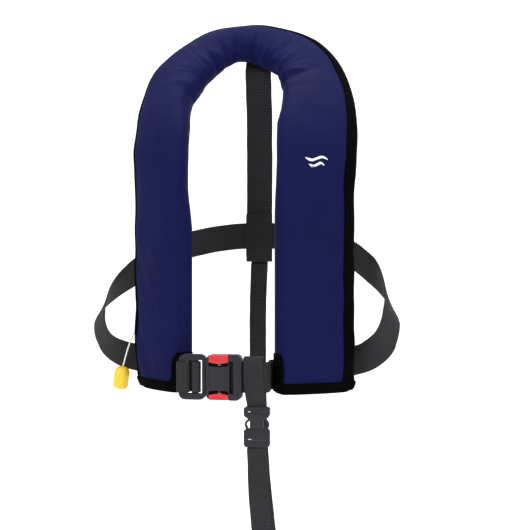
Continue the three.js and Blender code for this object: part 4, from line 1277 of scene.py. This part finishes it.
def printedMark():
    # two plain waves, laid on the left panel's cloth
    sizes = {"s": -296, "u": -7, "half": 15, "gap": 7, "thick": 2.6}
    front = slice(coverSizes["side"], coverU.shape[1] // 2 - coverSizes["side"])
    for number, (lower, half) in enumerate(((0, sizes["half"]), (-sizes["gap"], sizes["half"] * 0.7))):
        rows = []
        for layer, first in ((0.32, -1), (0.12, 1)):
            for t in np.linspace(first, -first, 41):
                row = []
                u = sizes["u"] + t * half
                for edge in np.linspace(-1, 1, 7):
                    taper = math.sqrt(max(1 - t**4, 0.02))
                    s = sizes["s"] + lower + 2.4 * math.sin(t * math.pi) + edge * sizes["thick"] / 2 * taper
                    k = np.interp(s, middleOfRun, everyStation)
                    k0 = int(k)
                    f = k - k0
                    depths = []
                    for kk in (k0, k0 + 1):
                        order = np.argsort(coverU[kk, front])
                        depth = np.interp(u, coverU[kk, front][order], coverV[kk, front][order])
                        depths.append([depth + layer])
                    before, after = onRun([k0, k0 + 1], [[u], [u]], depths)[:, 0]
                    row.append(before * (1 - f) + after * f)
                rows.append(row)
        made = stripSolid(f"printed_wave_{number + 1}", rows, "mark")
        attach(made, "jacket")


printedMark()


def springCoil(node, name):
    # a steel copy of a CAD coil, with a mesh of its own
    spring = copied(node, name)
    shaped(spring, [], [], "steel", 0, "jacket", node, "bottle_steel")
    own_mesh(spring)


springCoil("pin_spring", "striker_spring_coil")
springCoil("button_spring_upper", "upper_button_coil")
springCoil("button_spring_lower", "lower_button_coil")


print("stage: floor, light and camera")


def backdrop():
    sizes = {"floor": -0.722, "front": -4.5, "back": 1.6, "half": 5, "bend": 1.2, "high": 4.5}
    line = [(sizes["front"], sizes["floor"]), (sizes["back"], sizes["floor"])]
    for k in range(1, 17):
        angle = math.pi / 2 * k / 16
        y = sizes["back"] + sizes["bend"] * math.sin(angle)
        z = sizes["floor"] + sizes["bend"] * (1 - math.cos(angle))
        line.append((y, z))
    line.append((sizes["back"] + sizes["bend"], sizes["high"]))
    points = [(x, y, z) for y, z in line for x in (-sizes["half"], sizes["half"])]
    faces = [(2 * k, 2 * k + 1, 2 * k + 3, 2 * k + 2) for k in range(len(line) - 1)]
    mesh = bpy.data.meshes.new("backdrop")
    mesh.from_pydata(points, [], faces)
    mesh.polygons.foreach_set("use_smooth", [True] * len(faces))
    paint = bpy.data.materials.new("backdrop_white")
    paint.use_nodes = True
    shader = paint.node_tree.nodes["Principled BSDF"]
    shader.inputs["Base Color"].default_value = (0.94, 0.94, 0.94, 1)
    shader.inputs["Roughness"].default_value = 0.95
    shader.inputs["Specular IOR Level"].default_value = 0.05
    mesh.materials.append(paint)
    linked("backdrop", mesh)


def lamp(name, spot, target, size, power):
    data = bpy.data.lights.new(name, "AREA")
    data.shape = "RECTANGLE"
    data.size = size[0]
    data.size_y = size[1]
    data.energy = power
    made = linked(name, data)
    made.location = spot
    made.rotation_euler = (Vector(target) - Vector(spot)).to_track_quat("-Z", "Y").to_euler()


backdrop()
middle = (0, -0.08, -0.3)
lamp("key", (-1.3, -2.3, 1.5), middle, (1.6, 1.6), 42)
lamp("fill", (1.8, -2.2, 0.4), middle, (1.8, 1.8), 26)
lamp("top", (0, 0.2, 2.2), middle, (2, 2), 26)
lamp("wall", (0, 0.4, 2.4), (0, 2.8, 0.2), (3.5, 1.5), 60)
world = bpy.data.worlds.new("studio")
world.use_nodes = True
world.node_tree.nodes["Background"].inputs["Color"].default_value = (1, 1, 1, 1)
world.node_tree.nodes["Background"].inputs["Strength"].default_value = 0.62
bpy.context.scene.world = world
bpy.context.scene.view_settings.view_transform = "Standard"
bpy.context.scene.view_settings.exposure = 0

cameraSizes = {"spot": (0.2401, -1.3964, -0.2920), "turn": 9, "lens": 67.38}
cameraData = bpy.data.cameras.new("camera")
cameraData.lens = cameraSizes["lens"]
cameraData.sensor_width = 36
cameraData.clip_start = 0.05
camera = linked("camera", cameraData)
camera.location = cameraSizes["spot"]
camera.rotation_euler = (math.pi / 2, 0, math.radians(cameraSizes["turn"]))
bpy.context.scene.camera = camera

print("stage: finish")
